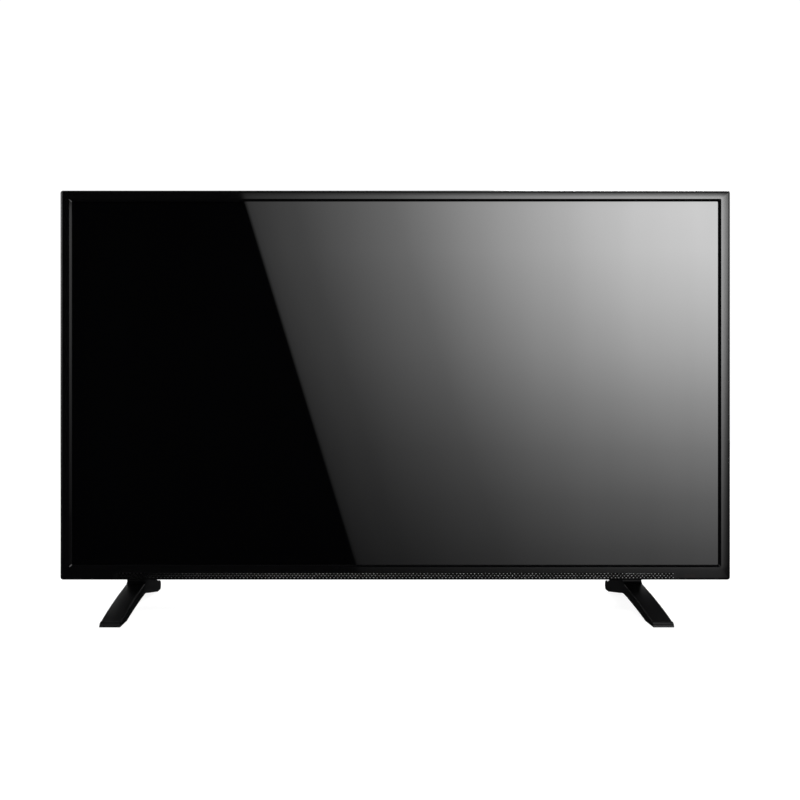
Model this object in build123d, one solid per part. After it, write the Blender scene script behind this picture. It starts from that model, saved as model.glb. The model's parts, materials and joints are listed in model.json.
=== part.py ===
from build123d import *
import os
from math import radians, tan

# Flat screen television of the 40-inch class on two arched feet. Millimetres, +Z up.
# The screen looks along -Y, +X is to the right of someone who faces it, and the floor is Z = 0.
# "Depth" below is the distance behind the front face of the bezel.

# Screen, and the bezel round it
screen_width = 885.6
screen_height = 498.15
bezel_side = 15.7
bezel_top = 14.7
bezel_bottom = 20.25
body_corner_radius = 3.7
floor_gap = 44.5
bezel_depth = 14.0
bezel_face = 2.4
bezel_wall = 1.9
bezel_edge_radius = 3.4
bezel_inner_radius = 1.5
lip_width = 2.7
lip_depth = 1.7

# Perforated strip in the lower bezel
strip_margin = 73.5
strip_height = 8.2
strip_foot = 1.9
strip_plate = 1.3
strip_hole_pitch = 4.93
strip_row_pitch = 2.74
strip_web = 0.9
strip_rim = 0.35
strip_rail_height = 2.2
strip_rail_thickness = 1.0
strip_hook = 0.9
strip_recess = 0.15

# Remote receiver window, right of the strip
ir_window_width = 15.0
ir_window_height = 5.0
ir_window_margin = 18.0
ir_window_flange = 1.0

# Panel stack, from the front
gasket_thickness = 0.8
gasket_width = 3.0
polariser_thickness = 0.2
polariser_margin = 0.8
cell_thickness = 1.2
cell_border = 5.0
frame_ledge = 1.5
frame_ledge_gap = 1.0
frame_skirt_depth = 11.0
frame_wall = 2.3
sheet_thickness = 0.3
sheet_overlap = 3.2
diffuser_thickness = 1.5

# Backlight chassis, a pressed steel tray
tray_steel = 0.8
tray_depth = 19.6
tray_inset = 16.0
tray_flange = 5.2
tray_mouth_gap = 1.0
tray_corner_radius = 6.0
tray_rib_height = 1.6
tray_rib_width = 14.0
reflector_thickness = 0.3

# Backlight
led_rows = 4
led_columns = 9
led_bar_width = 14.0
led_bar_thickness = 1.0
led_top_edge = 72.075
led_side_edge = 62.8
led_bar_end = 22.0
led_package = 3.4
led_package_height = 0.7
led_lens_radius = 7.5
led_lens_height = 5.5
led_lens_cavity = 2.6
led_lens_cavity_height = 1.8
led_lens_foot = 1.0
led_lens_hole_gap = 0.6
support_base_radius = 4.0
support_tip_radius = 1.2
support_columns = 4

# Rear cover
cover_wall = 2.5
cover_reveal = 0.6
cover_rim_depth = 3.0
cover_slope = 24.0
cover_flat_depth = 36.0
cover_corner_radius = 6.0
cover_tongue = 3.0
cover_tongue_wall = 1.5
cover_tongue_gap = 0.3
bulge_margin = 63.5
bulge_depth = 80.0
bulge_top_drop = 173.1
bulge_top_slope = 40.0
bulge_chamfer = 9.0
bulge_low_chamfer = 4.0
slot_width = 2.6
slot_pitch = 6.2
top_slot_margin = 164.0
top_slot_depth_start = 44.0
top_slot_depth_end = 70.0
low_slot_margin = 9.0
low_slot_height = 26.0
low_slot_rise = 26.0
speaker_slot_margin = 33.0
speaker_slot_length = 24.0
label_width = 96.0
label_height = 56.0
label_recess = 0.5
panel_groove_size = 232.0
panel_groove_width = 2.4
panel_groove_depth = 0.8
panel_groove_corner = 10.0

# Cable recesses in the rear cover, one on each side
recess_reach = 95.0
recess_end_gap = 8.0
mains_recess_low = 88.0
mains_recess_height = 100.0

# Screws, M3 for the boards and the cover, M4 for the feet
m3_radius = 1.5
m3_head_radius = 2.9
m3_head_height = 1.8
m4_radius = 2.0
m4_head_radius = 3.8
m4_head_height = 2.6
cross_width = 0.9
cross_depth = 1.0
thread_gap = 0.05
screw_hole_gap = 0.3
cover_screw_length = 5.6
cover_screw_seat = 2.0
cover_screw_edge = 42.5
cover_screw_well_gap = 1.6
cover_boss_height = 4.0
cover_boss_radius = 6.0
board_screw_length = 6.0

# Wall mount on the back, VESA 200 by 200 for M6 screws
vesa_spacing = 200.0
vesa_centre_rise = 200.0
vesa_radius = 7.0
vesa_thread_radius = 2.5
vesa_thread_depth = 14.0
vesa_sink = 0.5
vesa_hole_gap = 0.5

# Circuit boards
board_thickness = 1.6
board_boss_height = 12.0
board_boss_radius = 3.5
board_edge = 6.0
power_board_height = 170.0
board_wall_gap = 1.0
board_post_gap = 25.5
board_low = 84.0
tcon_width = 118.0
tcon_height = 46.0
tcon_low = 136.0

# Sockets on the edge of the main board, which face the cable recess
socket_gap = 0.4
socket_steel = 0.4
socket_proud = 0.4
socket_first = 20.0
socket_pitch = 19.5
hdmi_count = 3
hdmi_width = 15.0
hdmi_height = 5.6
hdmi_length = 12.0
hdmi_chamfer = 1.4
hdmi_tongue_width = 11.2
hdmi_tongue_height = 1.1
usb_count = 2
usb_width = 13.4
usb_height = 6.0
usb_length = 14.0
usb_tongue_width = 11.2
usb_tongue_height = 1.8
network_width = 16.0
network_height = 13.4
network_length = 18.0
network_mouth_width = 11.8
network_mouth_height = 8.0
network_mouth_length = 12.0
network_wall = 1.4
aerial_can = 14.0
aerial_length = 26.0
aerial_radius = 4.75
aerial_reach = 8.0
aerial_bore = 1.4
aerial_bore_length = 9.0
jack_count = 2
jack_body_width = 9.0
jack_body_height = 8.6
jack_body_length = 13.0
jack_radius = 3.6
jack_bore = 1.8
jack_bore_length = 11.0
jack_reach = 1.4

# Parts on the main board
chip_size = 26.0
chip_height = 2.4
memory_width = 12.0
memory_height = 9.0
memory_thickness = 1.1
heatsink_size = 42.0
heatsink_base = 3.0
heatsink_height = 16.0
heatsink_fins = 8
heatsink_fin_width = 1.6
coil_size = 8.0
coil_height = 4.5
small_can_radius = 4.0
small_can_height = 11.0
small_can_count = 5
small_can_pitch = 14.0

# Parts on the power board
transformer_width = 38.0
transformer_height = 34.0
transformer_depth = 24.0
transformer_core = 8.0
transformer_winding_gap = 2.0
bulk_can_radius = 11.0
bulk_can_height = 30.0
bulk_can_rim = 0.8
power_sink_length = 62.0
power_sink_depth = 28.0
power_sink_thickness = 2.0
power_sink_fins = 5
power_sink_fin_reach = 7.0

# Mains inlet and switch in the left recess
inlet_width = 25.0
inlet_depth = 13.0
inlet_length = 17.0
inlet_flange = 2.0
inlet_flange_thickness = 1.6
inlet_mouth_width = 16.9
inlet_mouth_height = 8.2
inlet_mouth_length = 12.0
inlet_pin_radius = 1.2
inlet_pin_spacing = 8.7
inlet_pin_length = 9.0
inlet_rise = 26.0
switch_rise = 66.0
switch_width = 23.0
switch_depth = 14.0
switch_length = 16.0
switch_flange = 2.0
switch_flange_thickness = 1.6
rocker_length = 16.0
rocker_width = 10.0
rocker_end = 2.4
rocker_middle = 1.4
rocker_skirt = 0.8
rocker_keel_width = 5.0
rocker_keel_depth = 6.0
rocker_pivot_depth = 3.0
rocker_pin_radius = 1.2
rocker_pin_gap = 0.05
rocker_pin_reach = 1.0
rocker_gap = 0.75
rocker_side_gap = 0.3
rocker_tilt = 7.0

# Keys on the left side of the rear cover
key_names = ["power", "source", "menu", "channel_up", "channel_down", "volume_up", "volume_down"]
key_pitch = 12.0
key_width = 8.0
key_height = 6.0
key_corner = 1.4
key_gap = 0.3
key_proud = 1.3
key_flange = 1.2
key_flange_thickness = 1.2
key_rest_gap = 0.1
key_stem_radius = 1.6
key_stem_length = 2.0
key_column_drop = 65.0
key_column_depth = 57.0
key_edge_radius = 0.5
tact_size = 6.0
tact_height = 3.5
tact_plunger_radius = 1.7
tact_plunger_proud = 1.5
tact_plunger_inside = 1.0
tact_bore_length = 1.7
tact_bore_gap = 0.1
key_board_depth = 16.0
key_board_end = 12.0
key_boss_radius = 3.2

# Remote receiver board
ir_board_width = 26.0
ir_board_height = 7.6
ir_board_depth = 8.6
ir_sensor_width = 6.0
ir_sensor_height = 6.4
ir_sensor_depth = 3.0
ir_lens_radius = 2.2
lamp_radius = 1.5
lamp_offset = 5.2
ir_board_foot = 0.5

# Panel driver boards and films below the glass
source_length = 216.0
source_start = 12.0
source_thickness = 1.0
source_depth_start = 11.0
source_depth_end = 25.0
film_width = 35.0
film_thickness = 0.15
film_pitch = 52.0
films_per_board = 4
film_drop = 4.2
film_reach = 14.0
film_bend_radius = 1.2
ribbon_width = 30.0
ribbon_thickness = 0.3

# Speakers, which fire down through the slots
speaker_foot_gap = 16.3
speaker_height = 58.0
speaker_depth = 44.0
speaker_wall = 2.2
speaker_corner = 4.0
speaker_start = 138.0
speaker_rise = 1.6
speaker_front_gap = 2.6
driver_radius = 19.0
driver_flange = 2.4
driver_flange_thickness = 1.0
driver_cone_depth = 9.0
driver_cone_thickness = 0.8
driver_neck_radius = 8.0
magnet_radius = 14.0
magnet_height = 10.0
driver_gap = 0.3

# Leads inside the body, clipped to the boards at both ends
harness_radius = 2.6
harness_rise = 200.0
harness_sag = 9.0
lead_radius = 1.2
plug_width = 14.0
plug_height = 8.0
plug_depth = 7.0

# Feet, one on each side, which run straight from front to back
foot_length = 210.0
foot_front_reach = 72.6
foot_width = 26.5
foot_left_inset = 90.8
foot_right_inset = 118.2
foot_sole = 0.5
foot_edge_radius = 1.0
foot_pad_thickness = 2.0
foot_pad_width = 18.0
foot_front_pad = 22.0
foot_rear_pad = 9.0
foot_pad_gap = 0.1
foot_screw_spacing = 12.0
foot_screw_length = 29.0
foot_screw_seat = 26.0
foot_screw_well_gap = 0.6

# Steel brackets that hold the feet to the chassis
bracket_steel = 2.0
bracket_width = 36.0
bracket_height = 62.0
bracket_depth = 44.0
bracket_nut_radius = 4.2
bracket_nut_height = 8.0

overrun = 1.0

# Foot outline: distance behind the front tip in shares of its length, height in shares of its top
nose_round_share = (0.008, 0.098)
nose_top_share = (0.029, 0.142)
instep_share = (0.3076, 0.446)
ankle_share = (0.568, 0.641)
post_front_share = (0.584, 0.70)
post_rear_share = (0.698, 0.72)
heel_bow_share = (0.845, 0.525)
heel_top_share = (0.945, 0.322)
heel_tip_share = (1.0, 0.14)
heel_foot_share = 0.985
rear_sole_share = 0.912
arch_rear_share = (0.642, 0.266)
arch_crown_share = (0.5886, 0.310)
arch_front_share = (0.545, 0.295)
arch_bow_share = (0.322, 0.149)
front_sole_share = 0.164
tray_rib_shares = (0.18, 0.36)
front_pad_share = 0.093
rear_pad_share = 0.947
post_middle_share = 0.641
edge_share = 0.5
bend_share = 0.45

# Shares of a lens, of the wound parts and of the loom between the boards
lens_shoulder_share = (0.8, 0.87)
lens_hollow_share = (0.7, 0.75)
transformer_place_share = 0.75
can_place_share = 1.6
loom_run_shares = (-1.0, -0.6, -0.2, 0.25, 0.62, 1.0)
loom_depth_shares = (0.0, 0.0, 0.4, 0.3, 0.0, 0.0)
loom_sag_shares = (0.0, 0.3, 1.0, 0.9, 0.2, 0.0)

# Places worked out from the sizes above
body_width = screen_width + 2 * bezel_side
body_height = screen_height + bezel_top + bezel_bottom
strip_length = body_width - 2 * strip_margin
bulge_width = body_width - 2 * bulge_margin
bulge_top_height = body_height - bulge_top_drop
recess_wall_x = bulge_width / 2 - recess_reach
foot_left_x = foot_left_inset - body_width / 2
foot_right_x = body_width / 2 - foot_right_inset
foot_right_start = foot_right_x - bracket_width / 2
speaker_width = foot_right_start - speaker_foot_gap - speaker_start
led_pitch = (screen_width - 2 * led_side_edge) / (led_columns - 1)
led_row_pitch = (screen_height - 2 * led_top_edge) / (led_rows - 1)
support_pitch = 2 * led_pitch
socket_order = ["network"] + ["hdmi"] * hdmi_count + ["usb"] * usb_count + ["jack"] * jack_count + ["aerial"]
main_board_height = 2 * socket_first + (len(socket_order) - 1) * socket_pitch
io_recess_low = board_low - recess_end_gap
io_recess_height = main_board_height + 2 * recess_end_gap
front_y = foot_front_reach - foot_length / 2
body_low = floor_gap
body_high = floor_gap + body_height
body_mid = floor_gap + body_height / 2
screen_mid = body_high - bezel_top - screen_height / 2
screen_low = screen_mid - screen_height / 2

gasket_depth = bezel_face
polariser_depth = gasket_depth + gasket_thickness
cell_depth = polariser_depth + polariser_thickness
rear_polariser_depth = cell_depth + cell_thickness
ledge_depth = rear_polariser_depth + polariser_thickness
prism_depth = ledge_depth + frame_ledge
sheet_depth = prism_depth + sheet_thickness
diffuser_depth = sheet_depth + sheet_thickness
tray_front = diffuser_depth + diffuser_thickness
tray_back = tray_front + tray_depth
tray_floor = tray_back - tray_steel
bar_depth = tray_floor - led_bar_thickness
board_depth = tray_back + board_boss_height
board_back = board_depth + board_thickness
cover_low = body_low + cover_reveal
cover_floor = cover_low + cover_wall
foot_top = cover_low
cell_low = screen_low - cell_border
tray_mouth_width = screen_width + 2 * tray_mouth_gap
tray_mouth_height = screen_height + 2 * tray_mouth_gap
tray_outer_width = tray_mouth_width + 2 * tray_flange
tray_outer_height = tray_mouth_height + 2 * tray_flange
frame_outer_width = tray_outer_width + 2 * frame_wall
frame_outer_height = tray_outer_height + 2 * frame_wall
frame_low = screen_mid - frame_outer_height / 2
vesa_mid = body_low + vesa_centre_rise
board_right = recess_wall_x - cover_wall - board_wall_gap
board_bottom = body_low + board_low
main_board_left = vesa_spacing / 2 + board_post_gap
power_board_right = -main_board_left
strip_low = body_low + strip_foot
strip_mid = strip_low + strip_height / 2
strip_high = strip_low + strip_height
key_mid = body_low + bulge_top_height - bulge_top_slope - key_column_drop
foot_xs = (foot_left_x, foot_right_x)


def block(x0, x1, depth0, depth1, z0, z1):
    """A box from its limits across, behind the bezel's face and up."""
    centre = Pos((x0 + x1) / 2, front_y + (depth0 + depth1) / 2, (z0 + z1) / 2)
    return centre * Box(x1 - x0, depth1 - depth0, z1 - z0)


def bar(x, depth, z, width, thick, height):
    """A box that starts at a depth, centred on a place seen from behind."""
    return block(x - width / 2, x + width / 2, depth, depth + thick, z - height / 2, z + height / 2)


def back_plane(depth):
    """A plane at a depth that faces backwards, with its second axis up."""
    return Plane(origin=(0, front_y + depth, 0), x_dir=(-1, 0, 0), z_dir=(0, 1, 0))


def rod_y(x, z, radius, depth0, depth1):
    face = back_plane(depth0) * Pos(-x, z) * Circle(radius)
    return extrude(face, amount=depth1 - depth0)


def rod_x(depth, z, radius, x0, x1):
    turned = Pos((x0 + x1) / 2, front_y + depth, z) * Rot(0, 90, 0)
    return turned * Cylinder(radius, x1 - x0)


def rod_z(x, depth, radius, z0, z1):
    return Pos(x, front_y + depth, (z0 + z1) / 2) * Cylinder(radius, z1 - z0)


def plate(width, height, z, depth, thickness, radius):
    """A flat plate with round corners, parallel to the screen and centred across."""
    outline = back_plane(depth) * Pos(0, z) * RectangleRounded(width, height, radius)
    return extrude(outline, amount=thickness)


def pan(width, height, z, depth0, depth1, inset, radius):
    """A plate whose sides lean in by the inset from its front to its back."""
    front = back_plane(depth0) * Pos(0, z) * RectangleRounded(width, height, radius)
    rear_width = width - 2 * inset
    rear_height = height - 2 * inset
    rear = back_plane(depth1) * Pos(0, z) * RectangleRounded(rear_width, rear_height, radius)
    return loft([front, rear], ruled=True)


def screw(shank_radius, head_radius, head_height, length):
    """A pan-head screw with a cross recess. Its seat is at zero and its head is above."""
    head = Pos(0, 0, head_height / 2) * Cylinder(head_radius, head_height)
    shank = Pos(0, 0, -length / 2) * Cylinder(shank_radius, length)
    recess = Box(head_radius, cross_width, cross_depth) + Box(cross_width, head_radius, cross_depth)
    return head + shank - Pos(0, 0, head_height - cross_depth / 2) * recess


def save(shape, name):
    """Writes one piece, or a group of like pieces, as a node."""
    if isinstance(shape, list):
        shape = Compound(children=shape)
    export_step(shape, "parts/" + name + ".step")


# Front: bezel, strip and window


def window_x():
    return strip_length / 2 + ir_window_margin


def front_bezel():
    shell = plate(body_width, body_height, body_mid, 0, bezel_depth, body_corner_radius)
    shell = fillet(shell.faces().sort_by(Axis.Y)[0].edges(), bezel_edge_radius)
    pocket_width = body_width - 2 * bezel_wall
    pocket_height = body_height - 2 * bezel_wall
    pocket_length = bezel_depth - bezel_face + overrun
    pocket = plate(
        pocket_width, pocket_height, body_mid, bezel_face, pocket_length, bezel_inner_radius
    )
    opening = plate(
        screen_width, screen_height, screen_mid, -overrun, bezel_face + 2 * overrun, bezel_inner_radius
    )
    lip_front_width = screen_width + 2 * lip_width
    lip_front_height = screen_height + 2 * lip_width
    lip = pan(lip_front_width, lip_front_height, screen_mid, 0, lip_depth, lip_width, bezel_inner_radius)
    strip_window = block(
        -strip_length / 2, strip_length / 2, -overrun, bezel_face + overrun, strip_low, strip_high
    )
    ir_hole = bar(
        window_x(), -overrun, strip_mid, ir_window_width, bezel_face + 2 * overrun, ir_window_height
    )
    return shell - pocket - opening - lip - strip_window - ir_hole


def grille_strip():
    """The strip is one holed face, with staggered diamonds, and a rail that hooks behind the bezel."""
    half_wide = (strip_hole_pitch - strip_web) / 2
    half_high = strip_row_pitch - strip_web
    length = strip_length - 2 * thread_gap
    height = strip_height - 2 * thread_gap
    columns = int((length - 2 * strip_hole_pitch) / strip_hole_pitch)
    plane = back_plane(strip_recess)
    outer = Wire.make_polygon(
        [
            plane.from_local_coords((-length / 2, strip_mid - height / 2)),
            plane.from_local_coords((length / 2, strip_mid - height / 2)),
            plane.from_local_coords((length / 2, strip_mid + height / 2)),
            plane.from_local_coords((-length / 2, strip_mid + height / 2)),
        ]
    )
    holes = []
    for row in (-1, 0, 1):
        count = columns - (row == 0)
        edge = height / 2 - strip_rim
        z = row * strip_row_pitch
        for column in range(count):
            x = (column - (count - 1) / 2) * strip_hole_pitch
            low = max(z - half_high, -edge)
            high = min(z + half_high, edge)
            points = [(x - half_wide, z)]
            if z - half_high < low:
                cut = half_wide * (1 - (z - low) / half_high)
                points += [(x - cut, low), (x + cut, low)]
            else:
                points += [(x, low)]
            points += [(x + half_wide, z)]
            if z + half_high > high:
                cut = half_wide * (1 - (high - z) / half_high)
                points += [(x + cut, high), (x - cut, high)]
            else:
                points += [(x, high)]
            corners = [plane.from_local_coords((px, pz + strip_mid)) for px, pz in points]
            holes.append(Wire.make_polygon(corners))
    face = Face(outer, holes)
    plate_solid = extrude(face, amount=strip_plate, dir=(0, 1, 0))
    plate_back = strip_recess + strip_plate
    hook_low = strip_high - thread_gap - strip_rim
    riser = block(
        -length / 2, length / 2, plate_back, bezel_face, hook_low, strip_high - thread_gap
    )
    rail = block(
        -length / 2,
        length / 2,
        bezel_face,
        bezel_face + strip_rail_thickness,
        hook_low,
        strip_high + strip_rail_height,
    )
    return plate_solid + (riser + rail)


def ir_window():
    width = ir_window_width - 2 * thread_gap
    height = ir_window_height - 2 * thread_gap
    pane = bar(window_x(), 0, strip_mid, width, bezel_face, height)
    flange_width = ir_window_width + 2 * ir_window_flange
    flange_height = ir_window_height + ir_window_flange
    flange = bar(window_x(), bezel_face, strip_mid, flange_width, ir_window_flange, flange_height)
    return pane + flange


# Panel stack


def ring(outer_width, outer_height, inner_width, inner_height, depth, thickness, radius):
    outside = plate(outer_width, outer_height, screen_mid, depth, thickness, radius)
    hole = plate(
        inner_width, inner_height, screen_mid, depth - overrun, thickness + 2 * overrun, radius
    )
    return outside - hole


def polariser_size():
    margin = cell_border - polariser_margin
    return screen_width + 2 * margin, screen_height + 2 * margin


def panel_gasket():
    width, height = polariser_size()
    inner_width = width - 2 * gasket_width
    inner_height = height - 2 * gasket_width
    return ring(
        width, height, inner_width, inner_height, gasket_depth, gasket_thickness, bezel_inner_radius
    )


def polariser(depth):
    width, height = polariser_size()
    return plate(width, height, screen_mid, depth, polariser_thickness, bezel_inner_radius)


def lcd_cell():
    width = screen_width + 2 * cell_border
    height = screen_height + 2 * cell_border
    return plate(width, height, screen_mid, cell_depth, cell_thickness, bezel_inner_radius)


def mid_frame():
    """The moulded frame that carries the glass in front and clips round the tray behind."""
    inner_width = screen_width + 2 * frame_ledge_gap
    inner_height = screen_height + 2 * frame_ledge_gap
    ledge = ring(
        frame_outer_width,
        frame_outer_height,
        inner_width,
        inner_height,
        ledge_depth,
        frame_ledge,
        bezel_inner_radius,
    )
    skirt_width = tray_outer_width + 2 * thread_gap
    skirt_height = tray_outer_height + 2 * thread_gap
    skirt = ring(
        frame_outer_width,
        frame_outer_height,
        skirt_width,
        skirt_height,
        prism_depth,
        frame_skirt_depth - frame_ledge,
        bezel_inner_radius,
    )
    return ledge + skirt


def optical_sheet(depth, thickness):
    width = screen_width + 2 * sheet_overlap
    height = screen_height + 2 * sheet_overlap
    return plate(width, height, screen_mid, depth, thickness, bezel_inner_radius)


# Backlight


def led_places():
    for row in range(led_rows):
        for column in range(led_columns):
            x = (column - (led_columns - 1) / 2) * led_pitch
            z = screen_mid + (row - (led_rows - 1) / 2) * led_row_pitch
            yield x, z


def support_places():
    for row in range(led_rows - 1):
        for column in range(support_columns):
            x = (column - (support_columns - 1) / 2) * support_pitch
            z = screen_mid + (row - (led_rows - 2) / 2) * led_row_pitch
            yield x, z


def reflector_sheet():
    """White film that lines the tray, over the LED bars, with a hole round each lens."""
    depth_front = tray_front
    floor_depth = bar_depth - reflector_thickness
    lean = tray_inset * (bar_depth - depth_front) / tray_depth
    gap = tray_steel + thread_gap
    outside = pan(
        tray_mouth_width - 2 * gap,
        tray_mouth_height - 2 * gap,
        screen_mid,
        depth_front,
        bar_depth,
        lean,
        tray_corner_radius,
    )
    film = reflector_thickness
    inside = pan(
        tray_mouth_width - 2 * gap - 2 * film,
        tray_mouth_height - 2 * gap - 2 * film,
        screen_mid,
        depth_front,
        floor_depth,
        lean,
        tray_corner_radius,
    )
    hole_radius = led_lens_radius + led_lens_hole_gap
    holes = [rod_y(x, z, hole_radius, floor_depth - overrun, bar_depth + overrun) for x, z in led_places()]
    return outside - inside - holes


def led_bars():
    bars = []
    length = (led_columns - 1) * led_pitch + 2 * led_bar_end
    for row in range(led_rows):
        z = screen_mid + (row - (led_rows - 1) / 2) * led_row_pitch
        strip = bar(0, bar_depth, z, length, led_bar_thickness, led_bar_width)
        for x, led_z in led_places():
            if abs(led_z - z) < led_bar_width:
                strip += bar(
                    x, bar_depth - led_package_height, z, led_package, led_package_height, led_package
                )
        bars.append(strip)
    return bars


def led_lens():
    """A lens with a hollow over the LED and three feet glued to the bar."""
    dome_edge = led_lens_height / 2
    section = make_face(
        Polyline((led_lens_cavity, 0), (led_lens_radius, 0), (led_lens_radius, dome_edge))
        + ThreePointArc(
            (led_lens_radius, dome_edge),
            (led_lens_radius * lens_shoulder_share[0], led_lens_height * lens_shoulder_share[1]),
            (led_lens_radius / 2, led_lens_height),
        )
        + Line((led_lens_radius / 2, led_lens_height), (0, led_lens_height - led_lens_foot))
        + Line((0, led_lens_height - led_lens_foot), (0, led_lens_cavity_height))
        + ThreePointArc(
            (0, led_lens_cavity_height),
            (led_lens_cavity * lens_hollow_share[0], led_lens_cavity_height * lens_hollow_share[1]),
            (led_lens_cavity, 0),
        )
    )
    turned = Plane.XZ * section
    return revolve(turned, Axis.Z)


def led_lenses():
    lens = led_lens()
    feet = []
    for turn in range(3):
        angle = Rot(0, 0, turn * 120)
        foot_x = led_lens_radius - 2 * led_lens_foot
        foot = Pos(foot_x, 0, -led_lens_foot / 2) * Cylinder(led_lens_foot, led_lens_foot)
        feet.append(angle * foot)
    lens = lens + feet
    seat = bar_depth - led_lens_foot
    return [Pos(x, front_y + seat, z) * Rot(90, 0, 0) * lens for x, z in led_places()]


def diffuser_supports():
    """Pegs that keep the diffuser plate flat, standing on the film between the bars."""
    supports = []
    base_depth = bar_depth - reflector_thickness
    length = base_depth - tray_front
    for x, z in support_places():
        peg = Cone(support_base_radius, support_tip_radius, length)
        supports.append(Pos(x, front_y + base_depth - length / 2, z) * Rot(90, 0, 0) * peg)
    return supports


def board_corners(x0, x1, z0, z1):
    for x in (x0 + board_edge, x1 - board_edge):
        for z in (z0 + board_edge, z1 - board_edge):
            yield x, z


def board_screw_places():
    """Where the boards behind the tray are screwed to its bosses."""
    places = []
    places += board_corners(main_board_left, board_right, board_bottom, board_bottom + main_board_height)
    places += board_corners(-board_right, power_board_right, board_bottom, board_bottom + power_board_height)
    tcon_bottom = body_low + tcon_low
    places += board_corners(-tcon_width / 2, tcon_width / 2, tcon_bottom, tcon_bottom + tcon_height)
    return places


def cover_screw_places():
    side = body_width / 2 - cover_screw_edge
    top = body_high - cover_screw_edge
    low = body_low + cover_screw_edge
    places = [(x, top) for x in (-side, -side / 2, 0, side / 2, side)]
    places += [(x, z) for x in (-side, side) for z in (low, (low + body_mid) / 2, body_mid)]
    return places


def bracket_screw_places():
    z = cover_floor + bracket_height - board_edge
    return [(x + side * bracket_width / 4, z) for x in foot_xs for side in (-1, 1)]


def vesa_places():
    half = vesa_spacing / 2
    return [(x, vesa_mid + z) for x in (-half, half) for z in (-half, half)]


def backlight_chassis():
    """The pressed tray, with stiffening ribs, board bosses and cover bosses on its back."""
    outside = pan(
        tray_mouth_width,
        tray_mouth_height,
        screen_mid,
        tray_front,
        tray_back,
        tray_inset,
        tray_corner_radius,
    )
    inset = tray_inset * (tray_floor - tray_front) / tray_depth
    inside = pan(
        tray_mouth_width - 2 * tray_steel,
        tray_mouth_height - 2 * tray_steel,
        screen_mid,
        tray_front,
        tray_floor,
        inset,
        tray_corner_radius,
    )
    flange = plate(
        tray_outer_width,
        tray_outer_height,
        screen_mid,
        tray_front,
        tray_steel,
        tray_corner_radius,
    )
    rib_back = tray_back + tray_rib_height
    ribs = []
    rib_half = screen_height / 2 - tray_inset - 2 * tray_rib_width
    rib_low = board_bottom + main_board_height + tray_rib_width
    for share in tray_rib_shares:
        for side in (-1, 1):
            x = side * share * screen_width
            x0 = x - tray_rib_width / 2
            x1 = x + tray_rib_width / 2
            ribs.append(block(x0, x1, tray_back, rib_back, rib_low, screen_mid + rib_half))
    bosses = [rod_y(x, z, board_boss_radius, tray_back, board_depth) for x, z in board_screw_places()]
    cover_boss_back = tray_back + cover_boss_height
    bosses += [rod_y(x, z, cover_boss_radius, tray_back, cover_boss_back) for x, z in cover_screw_places()]
    hole_radius = m3_radius + thread_gap
    holes = []
    for x, z in board_screw_places():
        bottom = board_back - board_screw_length - thread_gap
        holes.append(rod_y(x, z, hole_radius, bottom, board_depth + overrun))
    for x, z in cover_screw_places():
        bottom = cover_flat_depth - cover_screw_seat - cover_screw_length - thread_gap
        holes.append(rod_y(x, z, hole_radius, bottom, cover_boss_back + overrun))
    for x, z in bracket_screw_places():
        holes.append(rod_y(x, z, hole_radius, tray_floor - overrun, tray_back + overrun))
    solid = outside + flange + ribs + bosses
    return solid - inside - holes


def vesa_standoffs():
    """Turned steel posts, riveted to the tray, with an M6 thread for the wall bracket."""
    end = bulge_depth - vesa_sink
    posts = []
    for x, z in vesa_places():
        post = rod_y(x, z, vesa_radius, tray_back, end)
        post = chamfer(post.faces().sort_by(Axis.Y)[-1].edges(), vesa_sink)
        thread = rod_y(x, z, vesa_thread_radius, end - vesa_thread_depth, end + overrun)
        posts.append(post - thread)
    return posts


def foot_brackets():
    """Bent steel brackets: a foot plate on the cover's floor and a leg up the tray's back."""
    brackets = []
    for x in foot_xs:
        x0 = x - bracket_width / 2
        x1 = x + bracket_width / 2
        leg = block(
            x0, x1, tray_back, tray_back + bracket_steel, cover_floor, cover_floor + bracket_height
        )
        foot_plate = block(
            x0, x1, tray_back, tray_back + bracket_depth, cover_floor, cover_floor + bracket_steel
        )
        bracket = leg + foot_plate
        for depth in foot_screw_depths():
            bracket += rod_z(x, depth, bracket_nut_radius, cover_floor, cover_floor + bracket_nut_height)
        for depth in foot_screw_depths():
            top = cover_floor + bracket_nut_height + overrun
            bracket -= rod_z(x, depth, m4_radius + thread_gap, cover_floor - overrun, top)
        for hole_x, hole_z in bracket_screw_places():
            back = tray_back + bracket_steel + overrun
            radius = m3_radius + screw_hole_gap
            bracket -= rod_y(hole_x, hole_z, radius, tray_back - overrun, back)
        brackets.append(bracket)
    return brackets


# Rear cover


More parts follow.
